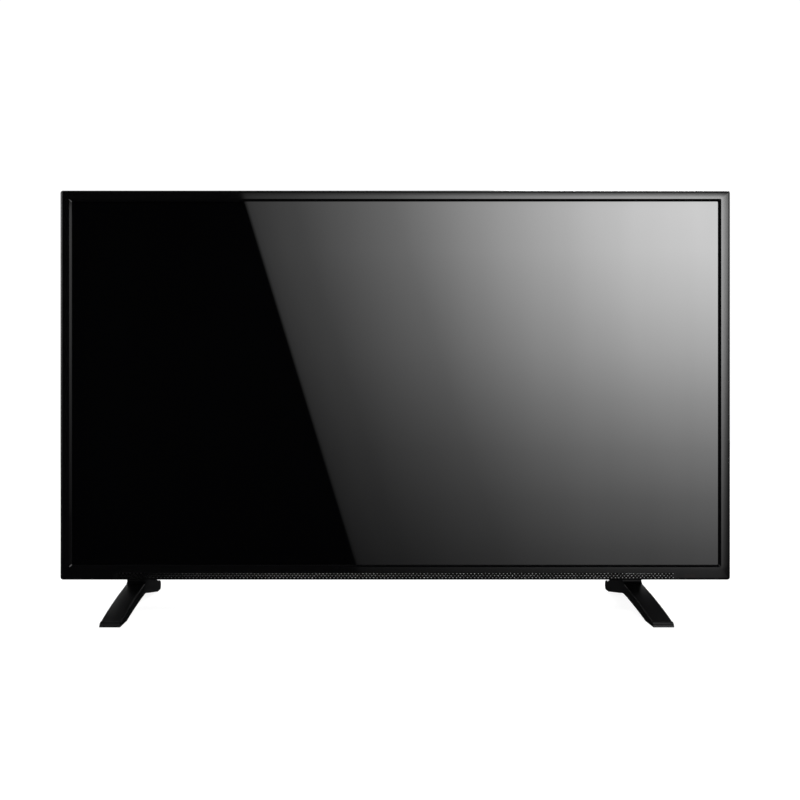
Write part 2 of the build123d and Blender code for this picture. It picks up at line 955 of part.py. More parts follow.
def cover_form(skin):
    """The cover's outside, or with a skin its inside: a leaning pan with a deep lower part."""
    width = body_width - 2 * cover_reveal - 2 * skin
    height = body_height - 2 * cover_reveal - 2 * skin
    rim = bezel_depth + cover_rim_depth
    flat = cover_flat_depth - skin
    start = bezel_depth - skin
    straight = plate(width, height, body_mid, start, rim - start, cover_corner_radius)
    leaning = pan(width, height, body_mid, rim, flat, cover_slope, cover_corner_radius)
    half = bulge_width / 2 - skin
    low = cover_low + skin
    back = bulge_depth - skin
    top = body_low + bulge_top_height - skin
    bevel = bulge_chamfer
    profile = Plane.YZ * make_face(
        Polyline(
            (front_y + start, low),
            (front_y + back - bulge_low_chamfer, low),
            (front_y + back, low + bulge_low_chamfer),
            (front_y + back, top - bulge_top_slope),
            (front_y + flat, top),
            (front_y + start, top),
            close=True,
        )
    )
    deep = extrude(profile, amount=half, both=True)
    plan = Plane.XY.offset(low) * make_face(
        Polyline(
            (-half, front_y + start),
            (half, front_y + start),
            (half, front_y + back - bevel),
            (half - bevel, front_y + back),
            (bevel - half, front_y + back),
            (-half, front_y + back - bevel),
            close=True,
        )
    )
    deep = deep & extrude(plan, amount=top - low)
    io_low = body_low + io_recess_low - skin
    io_high = body_low + io_recess_low + io_recess_height + skin
    mains_low = body_low + mains_recess_low - skin
    mains_high = body_low + mains_recess_low + mains_recess_height + skin
    inner = recess_wall_x - skin
    reach = bulge_width / 2 + overrun
    io_recess = block(inner, reach, flat, bulge_depth + overrun, io_low, io_high)
    mains_recess = block(-reach, -inner, flat, bulge_depth + overrun, mains_low, mains_high)
    return straight + leaning + (deep - io_recess - mains_recess)


def foot_screw_depths():
    middle = foot_length * post_middle_share - foot_front_reach
    return (middle - foot_screw_spacing / 2, middle + foot_screw_spacing / 2)


def speaker_mid(side):
    return side * (speaker_start + speaker_width / 2)


def speaker_mid_depth():
    return tray_back + speaker_front_gap + speaker_depth / 2


def cover_slots():
    """Air slots over the slope, air inlets low on the back, and the speaker slots underneath."""
    cuts = []
    high = body_low + bulge_top_height
    low = high - bulge_top_slope - cover_wall
    top_slots = int((bulge_width - 2 * top_slot_margin) / slot_pitch)
    low_slots = int((speaker_width - 2 * low_slot_margin) / slot_pitch)
    speaker_slots = int((speaker_width - 2 * speaker_slot_margin) / slot_pitch)
    for index in range(top_slots):
        x = (index - (top_slots - 1) / 2) * slot_pitch
        cuts.append(
            block(
                x - slot_width / 2,
                x + slot_width / 2,
                top_slot_depth_start,
                top_slot_depth_end,
                low,
                high,
            )
        )
    for side in (-1, 1):
        middle = speaker_mid(side)
        for index in range(low_slots):
            x = middle + (index - (low_slots - 1) / 2) * slot_pitch
            z = body_low + low_slot_rise
            cuts.append(
                bar(
                    x,
                    bulge_depth - cover_wall - overrun,
                    z,
                    slot_width,
                    cover_wall + 2 * overrun,
                    low_slot_height,
                )
            )
        for index in range(speaker_slots):
            x = middle + (index - (speaker_slots - 1) / 2) * slot_pitch
            depth = speaker_mid_depth()
            cuts.append(
                block(
                    x - slot_width / 2,
                    x + slot_width / 2,
                    depth - speaker_slot_length / 2,
                    depth + speaker_slot_length / 2,
                    cover_low - overrun,
                    cover_floor + overrun,
                )
            )
    return cuts


def socket_places():
    """Heights of the sockets up the edge of the main board, by name."""
    return [(name, board_bottom + socket_first + i * socket_pitch) for i, name in enumerate(socket_order)]


def wall_window(side, z, depth_mid, height, depth_size):
    """A hole through the recess wall of one side, right or left, with the socket's clearance."""
    x0 = min(side * (recess_wall_x - cover_wall - overrun), side * (recess_wall_x + overrun))
    x1 = max(side * (recess_wall_x - cover_wall - overrun), side * (recess_wall_x + overrun))
    half_high = height / 2 + socket_gap
    half_deep = depth_size / 2 + socket_gap
    return block(x0, x1, depth_mid - half_deep, depth_mid + half_deep, z - half_high, z + half_high)


def socket_windows():
    cuts = []
    for name, z in socket_places():
        if name == "network":
            middle = board_back + network_height / 2
            cuts.append(wall_window(1, z, middle, network_width, network_height))
        if name == "hdmi":
            cuts.append(wall_window(1, z, board_back + hdmi_height / 2, hdmi_width, hdmi_height))
        if name == "usb":
            cuts.append(wall_window(1, z, board_back + usb_height / 2, usb_width, usb_height))
        if name == "jack":
            middle = board_back + jack_body_height / 2
            cuts.append(wall_window(1, z, middle, 2 * jack_radius, 2 * jack_radius))
        if name == "aerial":
            middle = board_back + aerial_can / 2
            cuts.append(wall_window(1, z, middle, 2 * aerial_radius, 2 * aerial_radius))
    cuts.append(wall_window(-1, inlet_z(), mains_depth(), inlet_width, inlet_depth))
    cuts.append(wall_window(-1, switch_z(), mains_depth(), switch_width, switch_depth))
    return cuts


def key_places():
    count = len(key_names)
    return [(name, key_mid + ((count - 1) / 2 - i) * key_pitch) for i, name in enumerate(key_names)]


def key_windows():
    wall = -bulge_width / 2
    cuts = []
    for name, z in key_places():
        hole = RectangleRounded(key_height + 2 * key_gap, key_width + 2 * key_gap, key_corner + key_gap)
        face = Plane.YZ * Pos(front_y + key_column_depth, z) * hole
        cuts.append(Pos(wall - overrun, 0, 0) * extrude(face, amount=cover_wall + 2 * overrun))
    return cuts


def key_board_x():
    """Inner and outer faces of the key board, behind the switches."""
    flange_end = -bulge_width / 2 + cover_wall + key_rest_gap + key_flange_thickness
    return flange_end + key_stem_length + tact_plunger_proud + tact_height


def key_board_half():
    return (len(key_names) - 1) / 2 * key_pitch + key_board_end


def key_boss_heights():
    reach = key_board_half() - board_edge / 2
    return (key_mid - reach, key_mid + reach)


def rear_cover():
    outside = cover_form(0)
    inside = cover_form(cover_wall)
    tongue_width = body_width - 2 * bezel_wall - 2 * cover_tongue_gap
    tongue_height = body_height - 2 * bezel_wall - 2 * cover_tongue_gap
    tongue = plate(
        tongue_width,
        tongue_height,
        body_mid,
        bezel_depth - cover_tongue,
        cover_tongue + cover_rim_depth / 2,
        bezel_inner_radius,
    )
    tongue -= plate(
        tongue_width - 2 * cover_tongue_wall,
        tongue_height - 2 * cover_tongue_wall,
        body_mid,
        bezel_depth - cover_tongue - overrun,
        cover_tongue + cover_rim_depth + overrun,
        bezel_inner_radius,
    )
    front_cut = plate(
        body_width + overrun,
        body_height + overrun,
        body_mid,
        0,
        bezel_depth,
        cover_corner_radius,
    )
    shell = outside - inside - front_cut + tongue
    boss_front = tray_back + cover_boss_height
    seat = cover_flat_depth - cover_screw_seat
    bosses = []
    cuts = cover_slots() + socket_windows() + key_windows()
    for x, z in cover_screw_places():
        bosses.append(rod_y(x, z, cover_boss_radius, boss_front, seat))
        well_radius = m3_head_radius + cover_screw_well_gap
        cuts.append(rod_y(x, z, well_radius, seat, cover_flat_depth + overrun))
        hole_radius = m3_radius + screw_hole_gap
        cuts.append(rod_y(x, z, hole_radius, boss_front - overrun, seat + overrun))
    for x, z in vesa_places():
        radius = vesa_radius + vesa_hole_gap
        cuts.append(rod_y(x, z, radius, bulge_depth - cover_wall - overrun, bulge_depth + overrun))
    for x in foot_xs:
        for depth in foot_screw_depths():
            radius = m4_radius + screw_hole_gap
            cuts.append(rod_z(x, depth, radius, cover_low - overrun, cover_floor + overrun))
    key_wall = -bulge_width / 2 + cover_wall
    for z in key_boss_heights():
        bosses.append(rod_x(key_column_depth, z, key_boss_radius, key_wall - overrun, key_board_x()))
        hole_end = key_board_x() + overrun
        cuts.append(
            rod_x(
                key_column_depth,
                z,
                m3_radius + thread_gap,
                key_board_x() + board_thickness - board_screw_length - thread_gap,
                hole_end,
            )
        )
    label_z = body_low + bulge_top_height - bulge_top_slope - label_height
    label_depth = bulge_depth - label_recess
    cuts.append(bar(0, label_depth, label_z, label_width, label_recess + overrun, label_height))
    groove_depth = bulge_depth - panel_groove_depth
    groove_size = panel_groove_size
    groove = plate(
        groove_size, groove_size, vesa_mid, groove_depth, panel_groove_depth + overrun, panel_groove_corner
    )
    groove_size -= 2 * panel_groove_width
    groove_corner = panel_groove_corner - panel_groove_width
    groove -= plate(
        groove_size, groove_size, vesa_mid, groove_depth - overrun, bulge_depth, groove_corner
    )
    return shell + bosses - cuts - groove


def cover_screws():
    seat = front_y + cover_flat_depth - cover_screw_seat
    short = Rot(-90, 0, 0) * screw(m3_radius, m3_head_radius, m3_head_height, cover_screw_length)
    return [Pos(x, seat, z) * short for x, z in cover_screw_places()]


# Boards and what is on them


def board(x0, x1, z0, z1, screw_places):
    slab = block(x0, x1, board_depth, board_back, z0, z1)
    for x, z in screw_places:
        if x0 < x < x1 and z0 < z < z1:
            radius = m3_radius + screw_hole_gap
            slab -= rod_y(x, z, radius, board_depth - overrun, board_back + overrun)
    return slab


def main_board():
    z1 = board_bottom + main_board_height
    return board(main_board_left, board_right, board_bottom, z1, board_screw_places())


def power_board():
    z1 = board_bottom + power_board_height
    return board(-board_right, power_board_right, board_bottom, z1, board_screw_places())


def tcon_board():
    z0 = body_low + tcon_low
    slab = board(-tcon_width / 2, tcon_width / 2, z0, z0 + tcon_height, board_screw_places())
    chip = bar(0, board_back, z0 + tcon_height / 2, memory_width, memory_thickness, memory_width)
    return slab + chip


def board_middle():
    x = (main_board_left + board_right) / 2 - chip_size / 2
    z = board_bottom + main_board_height / 2
    return x, z


def main_board_chips():
    """The processor, two memory chips, coils and cans of the main board."""
    x, z = board_middle()
    pieces = [bar(x, board_back, z, chip_size, chip_height, chip_size)]
    for side in (-1, 1):
        memory_z = z + side * memory_height
        memory_x = x + heatsink_size / 2 + memory_width
        pieces.append(
            bar(memory_x, board_back, memory_z, memory_width, memory_thickness, memory_height - 2 * thread_gap)
        )
        coil_z = z + side * 2 * coil_size
        coil_x = x - heatsink_size / 2 - coil_size
        pieces.append(bar(coil_x, board_back, coil_z, coil_size, coil_height, coil_size))
    for index in range(small_can_count):
        can_x = x + (index - (small_can_count - 1) / 2) * small_can_pitch
        can_z = z + heatsink_size / 2 + chip_size
        pieces.append(
            rod_y(can_x, can_z, small_can_radius, board_back, board_back + small_can_height)
        )
    return pieces


def main_heatsink():
    x, z = board_middle()
    base_depth = board_back + chip_height
    sink = bar(x, base_depth, z, heatsink_size, heatsink_base, heatsink_size)
    step = (heatsink_size - heatsink_fin_width) / (heatsink_fins - 1)
    for index in range(heatsink_fins):
        fin_x = x + (index - (heatsink_fins - 1) / 2) * step
        sink += bar(
            fin_x,
            base_depth + heatsink_base,
            z,
            heatsink_fin_width,
            heatsink_height - heatsink_base,
            heatsink_size,
        )
    return sink


def socket_end():
    """The sockets' mouths stand just proud of the recess wall."""
    return recess_wall_x + socket_proud


def hdmi_sockets():
    sockets = []
    for name, z in socket_places():
        if name != "hdmi":
            continue
        x1 = socket_end()
        x0 = x1 - hdmi_length
        middle = board_back + hdmi_height / 2
        section = Plane.YZ * Pos(front_y + middle, z) * Rectangle(hdmi_height, hdmi_width)
        shell = Pos(x0, 0, 0) * extrude(section, amount=hdmi_length)
        deep_edges = shell.edges().filter_by(Axis.X).group_by(Axis.Y)[-1]
        shell = chamfer(deep_edges, hdmi_chamfer)
        hollow_section = Plane.YZ * Pos(front_y + middle, z) * Rectangle(
            hdmi_height - 2 * socket_steel, hdmi_width - 2 * socket_steel
        )
        hollow = Pos(x0 + 2 * socket_steel, 0, 0) * extrude(hollow_section, amount=hdmi_length)
        hollow_edges = hollow.edges().filter_by(Axis.X).group_by(Axis.Y)[-1]
        hollow = chamfer(hollow_edges, hdmi_chamfer)
        tongue = block(
            x0 + socket_steel,
            x1 - 2 * socket_proud,
            middle - hdmi_tongue_height / 2,
            middle + hdmi_tongue_height / 2,
            z - hdmi_tongue_width / 2,
            z + hdmi_tongue_width / 2,
        )
        sockets.append(shell - hollow + tongue)
    return sockets


def usb_sockets():
    sockets = []
    for name, z in socket_places():
        if name != "usb":
            continue
        x1 = socket_end()
        x0 = x1 - usb_length
        depth1 = board_back + usb_height
        z0 = z - usb_width / 2
        z1 = z + usb_width / 2
        steel = socket_steel
        shell = block(x0, x1, board_back, depth1, z0, z1)
        hollow = block(
            x0 + steel, x1 + overrun, board_back + steel, depth1 - steel, z0 + steel, z1 - steel
        )
        tongue = block(
            x0,
            x1 - 2 * socket_proud,
            board_back + steel + usb_tongue_height / 3,
            board_back + steel + usb_tongue_height * 4 / 3,
            z - usb_tongue_width / 2,
            z + usb_tongue_width / 2,
        )
        sockets.append(shell - hollow + tongue)
    return sockets


def network_socket():
    z = dict(socket_places())["network"]
    x1 = socket_end()
    body = block(
        x1 - network_length,
        x1,
        board_back,
        board_back + network_height,
        z - network_width / 2,
        z + network_width / 2,
    )
    low = board_back + network_wall
    mouth = block(
        x1 - network_mouth_length,
        x1 + overrun,
        low,
        low + network_mouth_height,
        z - network_mouth_width / 2,
        z + network_mouth_width / 2,
    )
    latch = block(
        x1 - network_mouth_length,
        x1 + overrun,
        low + network_mouth_height,
        board_back + network_height - network_wall,
        z - network_mouth_width / 6,
        z + network_mouth_width / 6,
    )
    return body - mouth - latch


def aerial_socket():
    z = dict(socket_places())["aerial"]
    wall = recess_wall_x - cover_wall - socket_gap
    middle = board_back + aerial_can / 2
    can = block(
        wall - aerial_length, wall, board_back, board_back + aerial_can, z - aerial_can / 2, z + aerial_can / 2
    )
    reach = recess_wall_x + aerial_reach
    barrel = rod_x(middle, z, aerial_radius, wall - overrun, reach)
    bore = rod_x(middle, z, aerial_bore, reach - aerial_bore_length, reach + overrun)
    return can + barrel - bore


def audio_sockets():
    jacks = []
    for name, z in socket_places():
        if name != "jack":
            continue
        wall = recess_wall_x - cover_wall - socket_gap
        middle = board_back + jack_body_height / 2
        body = block(
            wall - jack_body_length,
            wall,
            board_back,
            board_back + jack_body_height,
            z - jack_body_width / 2,
            z + jack_body_width / 2,
        )
        reach = recess_wall_x + jack_reach
        barrel = rod_x(middle, z, jack_radius, wall - overrun, reach)
        bore = rod_x(middle, z, jack_bore, reach - jack_bore_length, reach + overrun)
        jacks.append(body + barrel - bore)
    return jacks


def power_middle():
    x = (power_board_right - board_right) / 2
    z = board_bottom + power_board_height / 2
    return x, z


def power_transformers():
    """Two wound cores: a bobbin with its winding between the legs of a ferrite core."""
    x, z = power_middle()
    cores = []
    for side in (-1, 1):
        core_x = x + side * transformer_width * transformer_place_share
        core = bar(core_x, board_back, z, transformer_width, transformer_depth, transformer_height)
        leg = transformer_width / 2 - transformer_core / 2
        for leg_side in (-1, 1):
            core -= bar(
                core_x + leg_side * leg / 2,
                board_back - overrun,
                z,
                leg - transformer_core / 2 - transformer_winding_gap / 2,
                transformer_depth + 2 * overrun,
                transformer_height - 2 * transformer_core,
            )
        winding_height = transformer_height - 2 * transformer_core - transformer_winding_gap
        winding_radius = transformer_core / 2 + transformer_winding_gap
        winding = rod_y(
            core_x,
            z,
            winding_radius,
            board_back + transformer_winding_gap,
            board_back + transformer_depth - transformer_winding_gap,
        )
        squashed = bar(
            core_x,
            board_back + transformer_winding_gap,
            z,
            2 * winding_radius,
            transformer_depth - 2 * transformer_winding_gap,
            winding_height,
        )
        cores.append(core + (winding & squashed))
    return cores


def power_capacitors():
    """Two bulk cans stand on the board below the transformers, with a rolled rim each."""
    x, z = power_middle()
    cans = []
    for side in (-1, 1):
        can_x = x + side * bulk_can_radius * can_place_share
        can_z = z - transformer_height / 2 - bulk_can_radius * can_place_share
        can = rod_y(can_x, can_z, bulk_can_radius, board_back, board_back + bulk_can_height)
        can = fillet(can.faces().sort_by(Axis.Y)[-1].edges(), bulk_can_rim)
        cans.append(can)
    return cans


def power_heatsinks():
    """Upright aluminium plates with side fins, above and below the wound parts."""
    x, z = power_middle()
    sinks = []
    for side in (-1, 1):
        sink_z = z + side * (power_board_height / 2 - 3 * board_edge)
        sink = bar(x, board_back, sink_z, power_sink_length, power_sink_depth, power_sink_thickness)
        step = (power_sink_length - power_sink_thickness) / (power_sink_fins - 1)
        for index in range(power_sink_fins):
            fin_x = x + (index - (power_sink_fins - 1) / 2) * step
            fin_z = sink_z - side * (power_sink_fin_reach + power_sink_thickness) / 2
            sink += bar(
                fin_x,
                board_back,
                fin_z,
                power_sink_thickness,
                power_sink_depth,
                power_sink_fin_reach,
            )
        sinks.append(sink)
    return sinks


def board_screws():
    long = screw(m3_radius, m3_head_radius, m3_head_height, board_screw_length)
    short = screw(m3_radius, m3_head_radius, m3_head_height, bracket_steel + tray_steel)
    back = Rot(-90, 0, 0)
    screws = [Pos(x, front_y + board_back, z) * back * long for x, z in board_screw_places()]
    bracket_seat = front_y + tray_back + bracket_steel
    screws += [Pos(x, bracket_seat, z) * back * short for x, z in bracket_screw_places()]
    key_seat = key_board_x() + board_thickness
    for z in key_boss_heights():
        screws.append(Pos(key_seat, front_y + key_column_depth, z) * Rot(0, 90, 0) * long)
    return screws


# Mains inlet and switch


def mains_depth():
    """Middle of the inlet and of the switch, on the power board's back."""
    return board_back + max(inlet_depth, switch_depth) / 2


def inlet_z():
    return body_low + mains_recess_low + inlet_rise


def switch_z():
    return body_low + mains_recess_low + switch_rise


def flanged_body(z, width, depth_size, length, flange, flange_thickness):
    """A body through the left recess wall, with a flange on the wall's outside."""
    wall = -recess_wall_x
    half_deep = depth_size / 2
    body = block(
        wall,
        wall + length,
        mains_depth() - half_deep,
        mains_depth() + half_deep,
        z - width / 2,
        z + width / 2,
    )
    lip = block(
        wall - flange_thickness,
        wall,
        mains_depth() - half_deep - flange,
        mains_depth() + half_deep + flange,
        z - width / 2 - flange,
        z + width / 2 + flange,
    )
    return body + lip


def mains_inlet():
    body = flanged_body(
        inlet_z(), inlet_width, inlet_depth, inlet_length, inlet_flange, inlet_flange_thickness
    )
    outer = -recess_wall_x - inlet_flange_thickness
    slot = Plane.YZ * Pos(front_y + mains_depth(), inlet_z()) * Rot(0, 0, 90) * SlotOverall(
        inlet_mouth_width, inlet_mouth_height
    )
    mouth = Pos(outer - overrun, 0, 0) * extrude(slot, amount=inlet_mouth_length + overrun)
    body -= mouth
    for side in (-1, 1):
        z = inlet_z() + side * inlet_pin_spacing / 2
        end = outer + inlet_mouth_length
        pin = rod_x(mains_depth(), z, inlet_pin_radius, end - inlet_pin_length, end + overrun)
        body += pin
    return body


def rocker_pivot_x():
    return -recess_wall_x - switch_flange_thickness + rocker_pivot_depth


def mains_switch():
    body = flanged_body(
        switch_z(), switch_width, switch_depth, switch_length, switch_flange, switch_flange_thickness
    )
    outer = -recess_wall_x - switch_flange_thickness
    half_long = rocker_length / 2 + rocker_gap
    half_wide = rocker_width / 2 + rocker_side_gap
    depth = rocker_pivot_depth + rocker_keel_depth + rocker_gap
    body -= block(
        outer - overrun,
        outer + depth,
        mains_depth() - half_wide,
        mains_depth() + half_wide,
        switch_z() - half_long,
        switch_z() + half_long,
    )
    bore_reach = half_wide + rocker_pin_reach
    radius = rocker_pin_radius + rocker_pin_gap
    centre = Pos(rocker_pivot_x(), front_y + mains_depth(), switch_z())
    body -= centre * Rot(90, 0, 0) * Cylinder(radius, 2 * bore_reach)
    return body


def mains_rocker():
    """The rocker with its two pivot pins, tilted to its ON stop, which is where it rests."""
    half = rocker_length / 2
    keel = rocker_keel_width / 2
    outline = make_face(
        Polyline(
            (rocker_pivot_depth + rocker_end, half),
            (rocker_pivot_depth + rocker_middle, 0),
            (rocker_pivot_depth + rocker_end, -half),
            (rocker_pivot_depth - rocker_skirt, -half),
            (-rocker_keel_depth + rocker_skirt, -keel),
            (-rocker_keel_depth + rocker_skirt, keel),
            (rocker_pivot_depth - rocker_skirt, half),
            close=True,
        )
    )
    paddle = extrude(Plane.XZ * outline, amount=rocker_width / 2, both=True)
    pin_length = rocker_width + 2 * rocker_side_gap + 2 * rocker_pin_reach - 2 * rocker_pin_gap
    pin = Rot(90, 0, 0) * Cylinder(rocker_pin_radius, pin_length)
    mirrored = Rot(0, 0, 180) * (paddle + pin)
    place = Pos(rocker_pivot_x(), front_y + mains_depth(), switch_z())
    return place * Rot(0, rocker_tilt, 0) * mirrored


# Keys


def key(z):
    """A key cap with its flange and stem, and the plunger of the switch that it presses."""
    outer = -bulge_width / 2 - key_proud
    flange_start = -bulge_width / 2 + cover_wall + key_rest_gap
    plane = Plane.YZ * Pos(front_y + key_column_depth, z)
    cap_face = plane * RectangleRounded(key_height, key_width, key_corner)
    cap = Pos(outer, 0, 0) * extrude(cap_face, amount=flange_start - outer)
    cap = fillet(cap.faces().sort_by(Axis.X)[0].edges(), key_edge_radius)
    flange_face = plane * RectangleRounded(
        key_height + 2 * key_flange, key_width + 2 * key_flange, key_corner
    )
    flange = Pos(flange_start, 0, 0) * extrude(flange_face, amount=key_flange_thickness)
    stem_start = flange_start + key_flange_thickness
    stem_end = stem_start + key_stem_length
    stem = rod_x(key_column_depth, z, key_stem_radius, stem_start, stem_end)
    plunger_end = stem_end + tact_plunger_proud + tact_plunger_inside
    plunger = rod_x(key_column_depth, z, tact_plunger_radius, stem_end, plunger_end)
    return [cap + flange + stem, plunger]


def key_board():
    x0 = key_board_x()
    half_deep = key_board_depth / 2
    slab = block(
        x0,
        x0 + board_thickness,
        key_column_depth - half_deep,
        key_column_depth + half_deep,
        key_mid - key_board_half(),
        key_mid + key_board_half(),
    )
    for z in key_boss_heights():
        slab -= rod_x(
            key_column_depth, z, m3_radius + screw_hole_gap, x0 - overrun, x0 + board_thickness + overrun
        )
    return slab


def tact_switches():
    switches = []
    x1 = key_board_x()
    x0 = x1 - tact_height
    half = tact_size / 2
    for name, z in key_places():
        body = block(x0, x1, key_column_depth - half, key_column_depth + half, z - half, z + half)
        bore = rod_x(
            key_column_depth, z, tact_plunger_radius + tact_bore_gap, x0 - overrun, x0 + tact_bore_length
        )
        switches.append(body - bore)
    return switches


# Receiver board


def ir_board():
    """A small board behind the window with the remote receiver and the status lamp."""
    x = window_x()
    face = ir_board_depth
    slab = bar(x, face, strip_mid, ir_board_width, board_thickness, ir_board_height)
    sensor = bar(
        x, face - ir_sensor_depth, strip_mid, ir_sensor_width, ir_sensor_depth, ir_sensor_height
    )
    lens = rod_y(x, strip_mid, ir_lens_radius, face - ir_sensor_depth - ir_lens_radius / 2, face)
    lamp = rod_y(x + lamp_offset, strip_mid, lamp_radius, face - ir_sensor_depth, face)
    low = body_low + bezel_wall
    post_height = strip_mid - ir_board_height / 2 - low
    foot = block(
        x - ir_board_width / 2,
        x + ir_board_width / 2,
        face,
        face + board_thickness,
        low,
        low + post_height + ir_board_foot,
    )
    return slab + sensor + lens + lamp + foot


# Panel drive


def source_boards():
    top = cell_low - film_drop
    boards = []
    for side in (-1, 1):
        x0 = min(side * source_start, side * (source_start + source_length))
        boards.append(
            block(
                x0,
                x0 + source_length,
                source_depth_start,
                source_depth_end,
                top - source_thickness,
                top,
            )
        )
    return boards


def cof_films():
    """Films bonded to the glass's lower edge, bent back under the frame to the driver boards."""
    films = []
    top = cell_low
    low = cell_low - film_drop
    start = front_y + cell_depth + cell_thickness / 2
    path = FilletPolyline(
        (start, top), (start, low), (start + film_reach, low), radius=film_bend_radius
    )
    inner = FilletPolyline(
        (start + film_thickness, top),
        (start + film_thickness, low + film_thickness),
        (start + film_reach, low + film_thickness),
        radius=film_bend_radius - film_thickness,
    )
    ends = Line((start, top), (start + film_thickness, top)) + Line(
        (start + film_reach, low), (start + film_reach, low + film_thickness)
    )
    section = Plane.YZ * make_face(path + inner + ends)
    for side in (-1, 1):
        middle = side * (source_start + source_length / 2)
        for index in range(films_per_board):
            x = middle + (index - (films_per_board - 1) / 2) * film_pitch
            films.append(Pos(x, 0, 0) * extrude(section, amount=film_width / 2, both=True))
    return films


def flat_cables():
    """Flat cables: main board to timing board, and timing board down to each driver board."""
    tcon_bottom = body_low + tcon_low
    across = block(
        tcon_width / 2 - board_edge,
        main_board_left + board_edge,
        board_back,
        board_back + ribbon_thickness,
        tcon_bottom + tcon_height / 2 - ribbon_width / 4,
        tcon_bottom + tcon_height / 2 + ribbon_width / 4,
    )
    cables = [across]
    clear = tray_back + ribbon_thickness
    slope_low = screen_mid - tray_mouth_height / 2 + tray_inset
    film_top = cell_low - film_drop
    landing = source_depth_end - film_bend_radius
    points = [
        (board_back + ribbon_thickness / 2, tcon_bottom + board_edge),
        (board_back + ribbon_thickness / 2, tcon_bottom - board_edge),
        (clear, tcon_bottom - 2 * board_edge),
        (clear, slope_low),
        (landing + 2 * film_bend_radius, film_top + 2 * board_edge),
        (landing, film_top + ribbon_thickness),
    ]
    centre = Polyline(*[(front_y + depth, z) for depth, z in points])
    section = Plane.YZ * trace(centre, ribbon_thickness)
    for side in (-1, 1):
        x = side * tcon_width / 4
        cables.append(Pos(x, 0, 0) * extrude(section, amount=ribbon_width / 2, both=True))
    return cables


# Speakers


def speaker_box(side):
    """A closed moulded box with a round hole for the driver in its underside."""
    x = speaker_mid(side)
    low = cover_floor + speaker_rise
    depth0 = tray_back + speaker_front_gap
    box = block(
        x - speaker_width / 2,
        x + speaker_width / 2,
        depth0,
        depth0 + speaker_depth,
        low,
        low + speaker_height,
    )
    box = fillet(box.edges().filter_by(Axis.Z), speaker_corner)
    wall = speaker_wall
    hollow = block(
        x - speaker_width / 2 + wall,
        x + speaker_width / 2 - wall,
        depth0 + wall,
        depth0 + speaker_depth - wall,
        low + wall,
        low + speaker_height - wall,
    )
    mouth = rod_z(x, speaker_mid_depth(), driver_radius, low - overrun, low + wall + overrun)
    return box - hollow - mouth


def speaker_cone(side):
    """The cone and its flange, seated under the box."""
    low = cover_floor + speaker_rise - driver_flange_thickness
    outer = driver_radius - driver_gap
    thick = driver_cone_thickness
    section = make_face(
        Polyline(
            (driver_radius + driver_flange, 0),
            (driver_radius + driver_flange, driver_flange_thickness),
            (outer, driver_flange_thickness),
            (driver_neck_radius, driver_cone_depth + thick),
            (0, driver_cone_depth + thick),
            (0, driver_cone_depth),
            (driver_neck_radius - thick, driver_cone_depth),
            (outer - thick, 0),
            close=True,
        )
    )
    cone = revolve(Plane.XZ * section, Axis.Z)
    return Pos(speaker_mid(side), front_y + speaker_mid_depth(), low) * cone


def speaker_magnet(side):
    low = cover_floor + speaker_rise - driver_flange_thickness + driver_cone_depth + driver_cone_thickness
    return rod_z(speaker_mid(side), speaker_mid_depth(), magnet_radius, low, low + magnet_height)


# Leads


def bend_radii(points):
    """The widest arc at each corner of a route: a share of its shorter run over the half turn."""
    radii = []
    for before, here, after in zip(points, points[1:], points[2:]):
        first = Vector(*here) - Vector(*before)
        second = Vector(*after) - Vector(*here)
        turn = radians(first.get_angle(second))
        radii.append(bend_share * min(first.length, second.length) / tan(turn / 2))
    return radii


def tube(name, points, radius):
    """A round lead along straight runs that are joined by tangent arcs."""
    radii = bend_radii(points)
    print(name, "bend radii", [round(value, 1) for value in radii])
    path = FilletPolyline(*points, radius=radii)
    section = Plane(origin=path @ 0, z_dir=path % 0) * Circle(radius)
    lead = sweep(section, path=path)
    print(name, "volume over section times length", round(lead.volume / (section.area * path.length), 4))
    return lead


def lead_point(x, depth, z):
    return (x, front_y + depth, z)


def plug(x, z):
    return bar(x, board_back, z, plug_width, plug_depth, plug_height)


def plug_middle():
    return board_back + plug_depth / 2


def power_harness():
    """The loom from the power board to the main board, with its two plugs."""
    z = body_low + harness_rise
    x = main_board_left + board_edge + plug_width / 2
    end = x - plug_width / 2
    depth = plug_middle()
    drop = harness_sag
    points = [
        lead_point(end * run, depth + drop * out, z - drop * sag)
        for run, out, sag in zip(loom_run_shares, loom_depth_shares, loom_sag_shares)
    ]
    return [plug(-x, z), plug(x, z), tube("harness", points, harness_radius)]


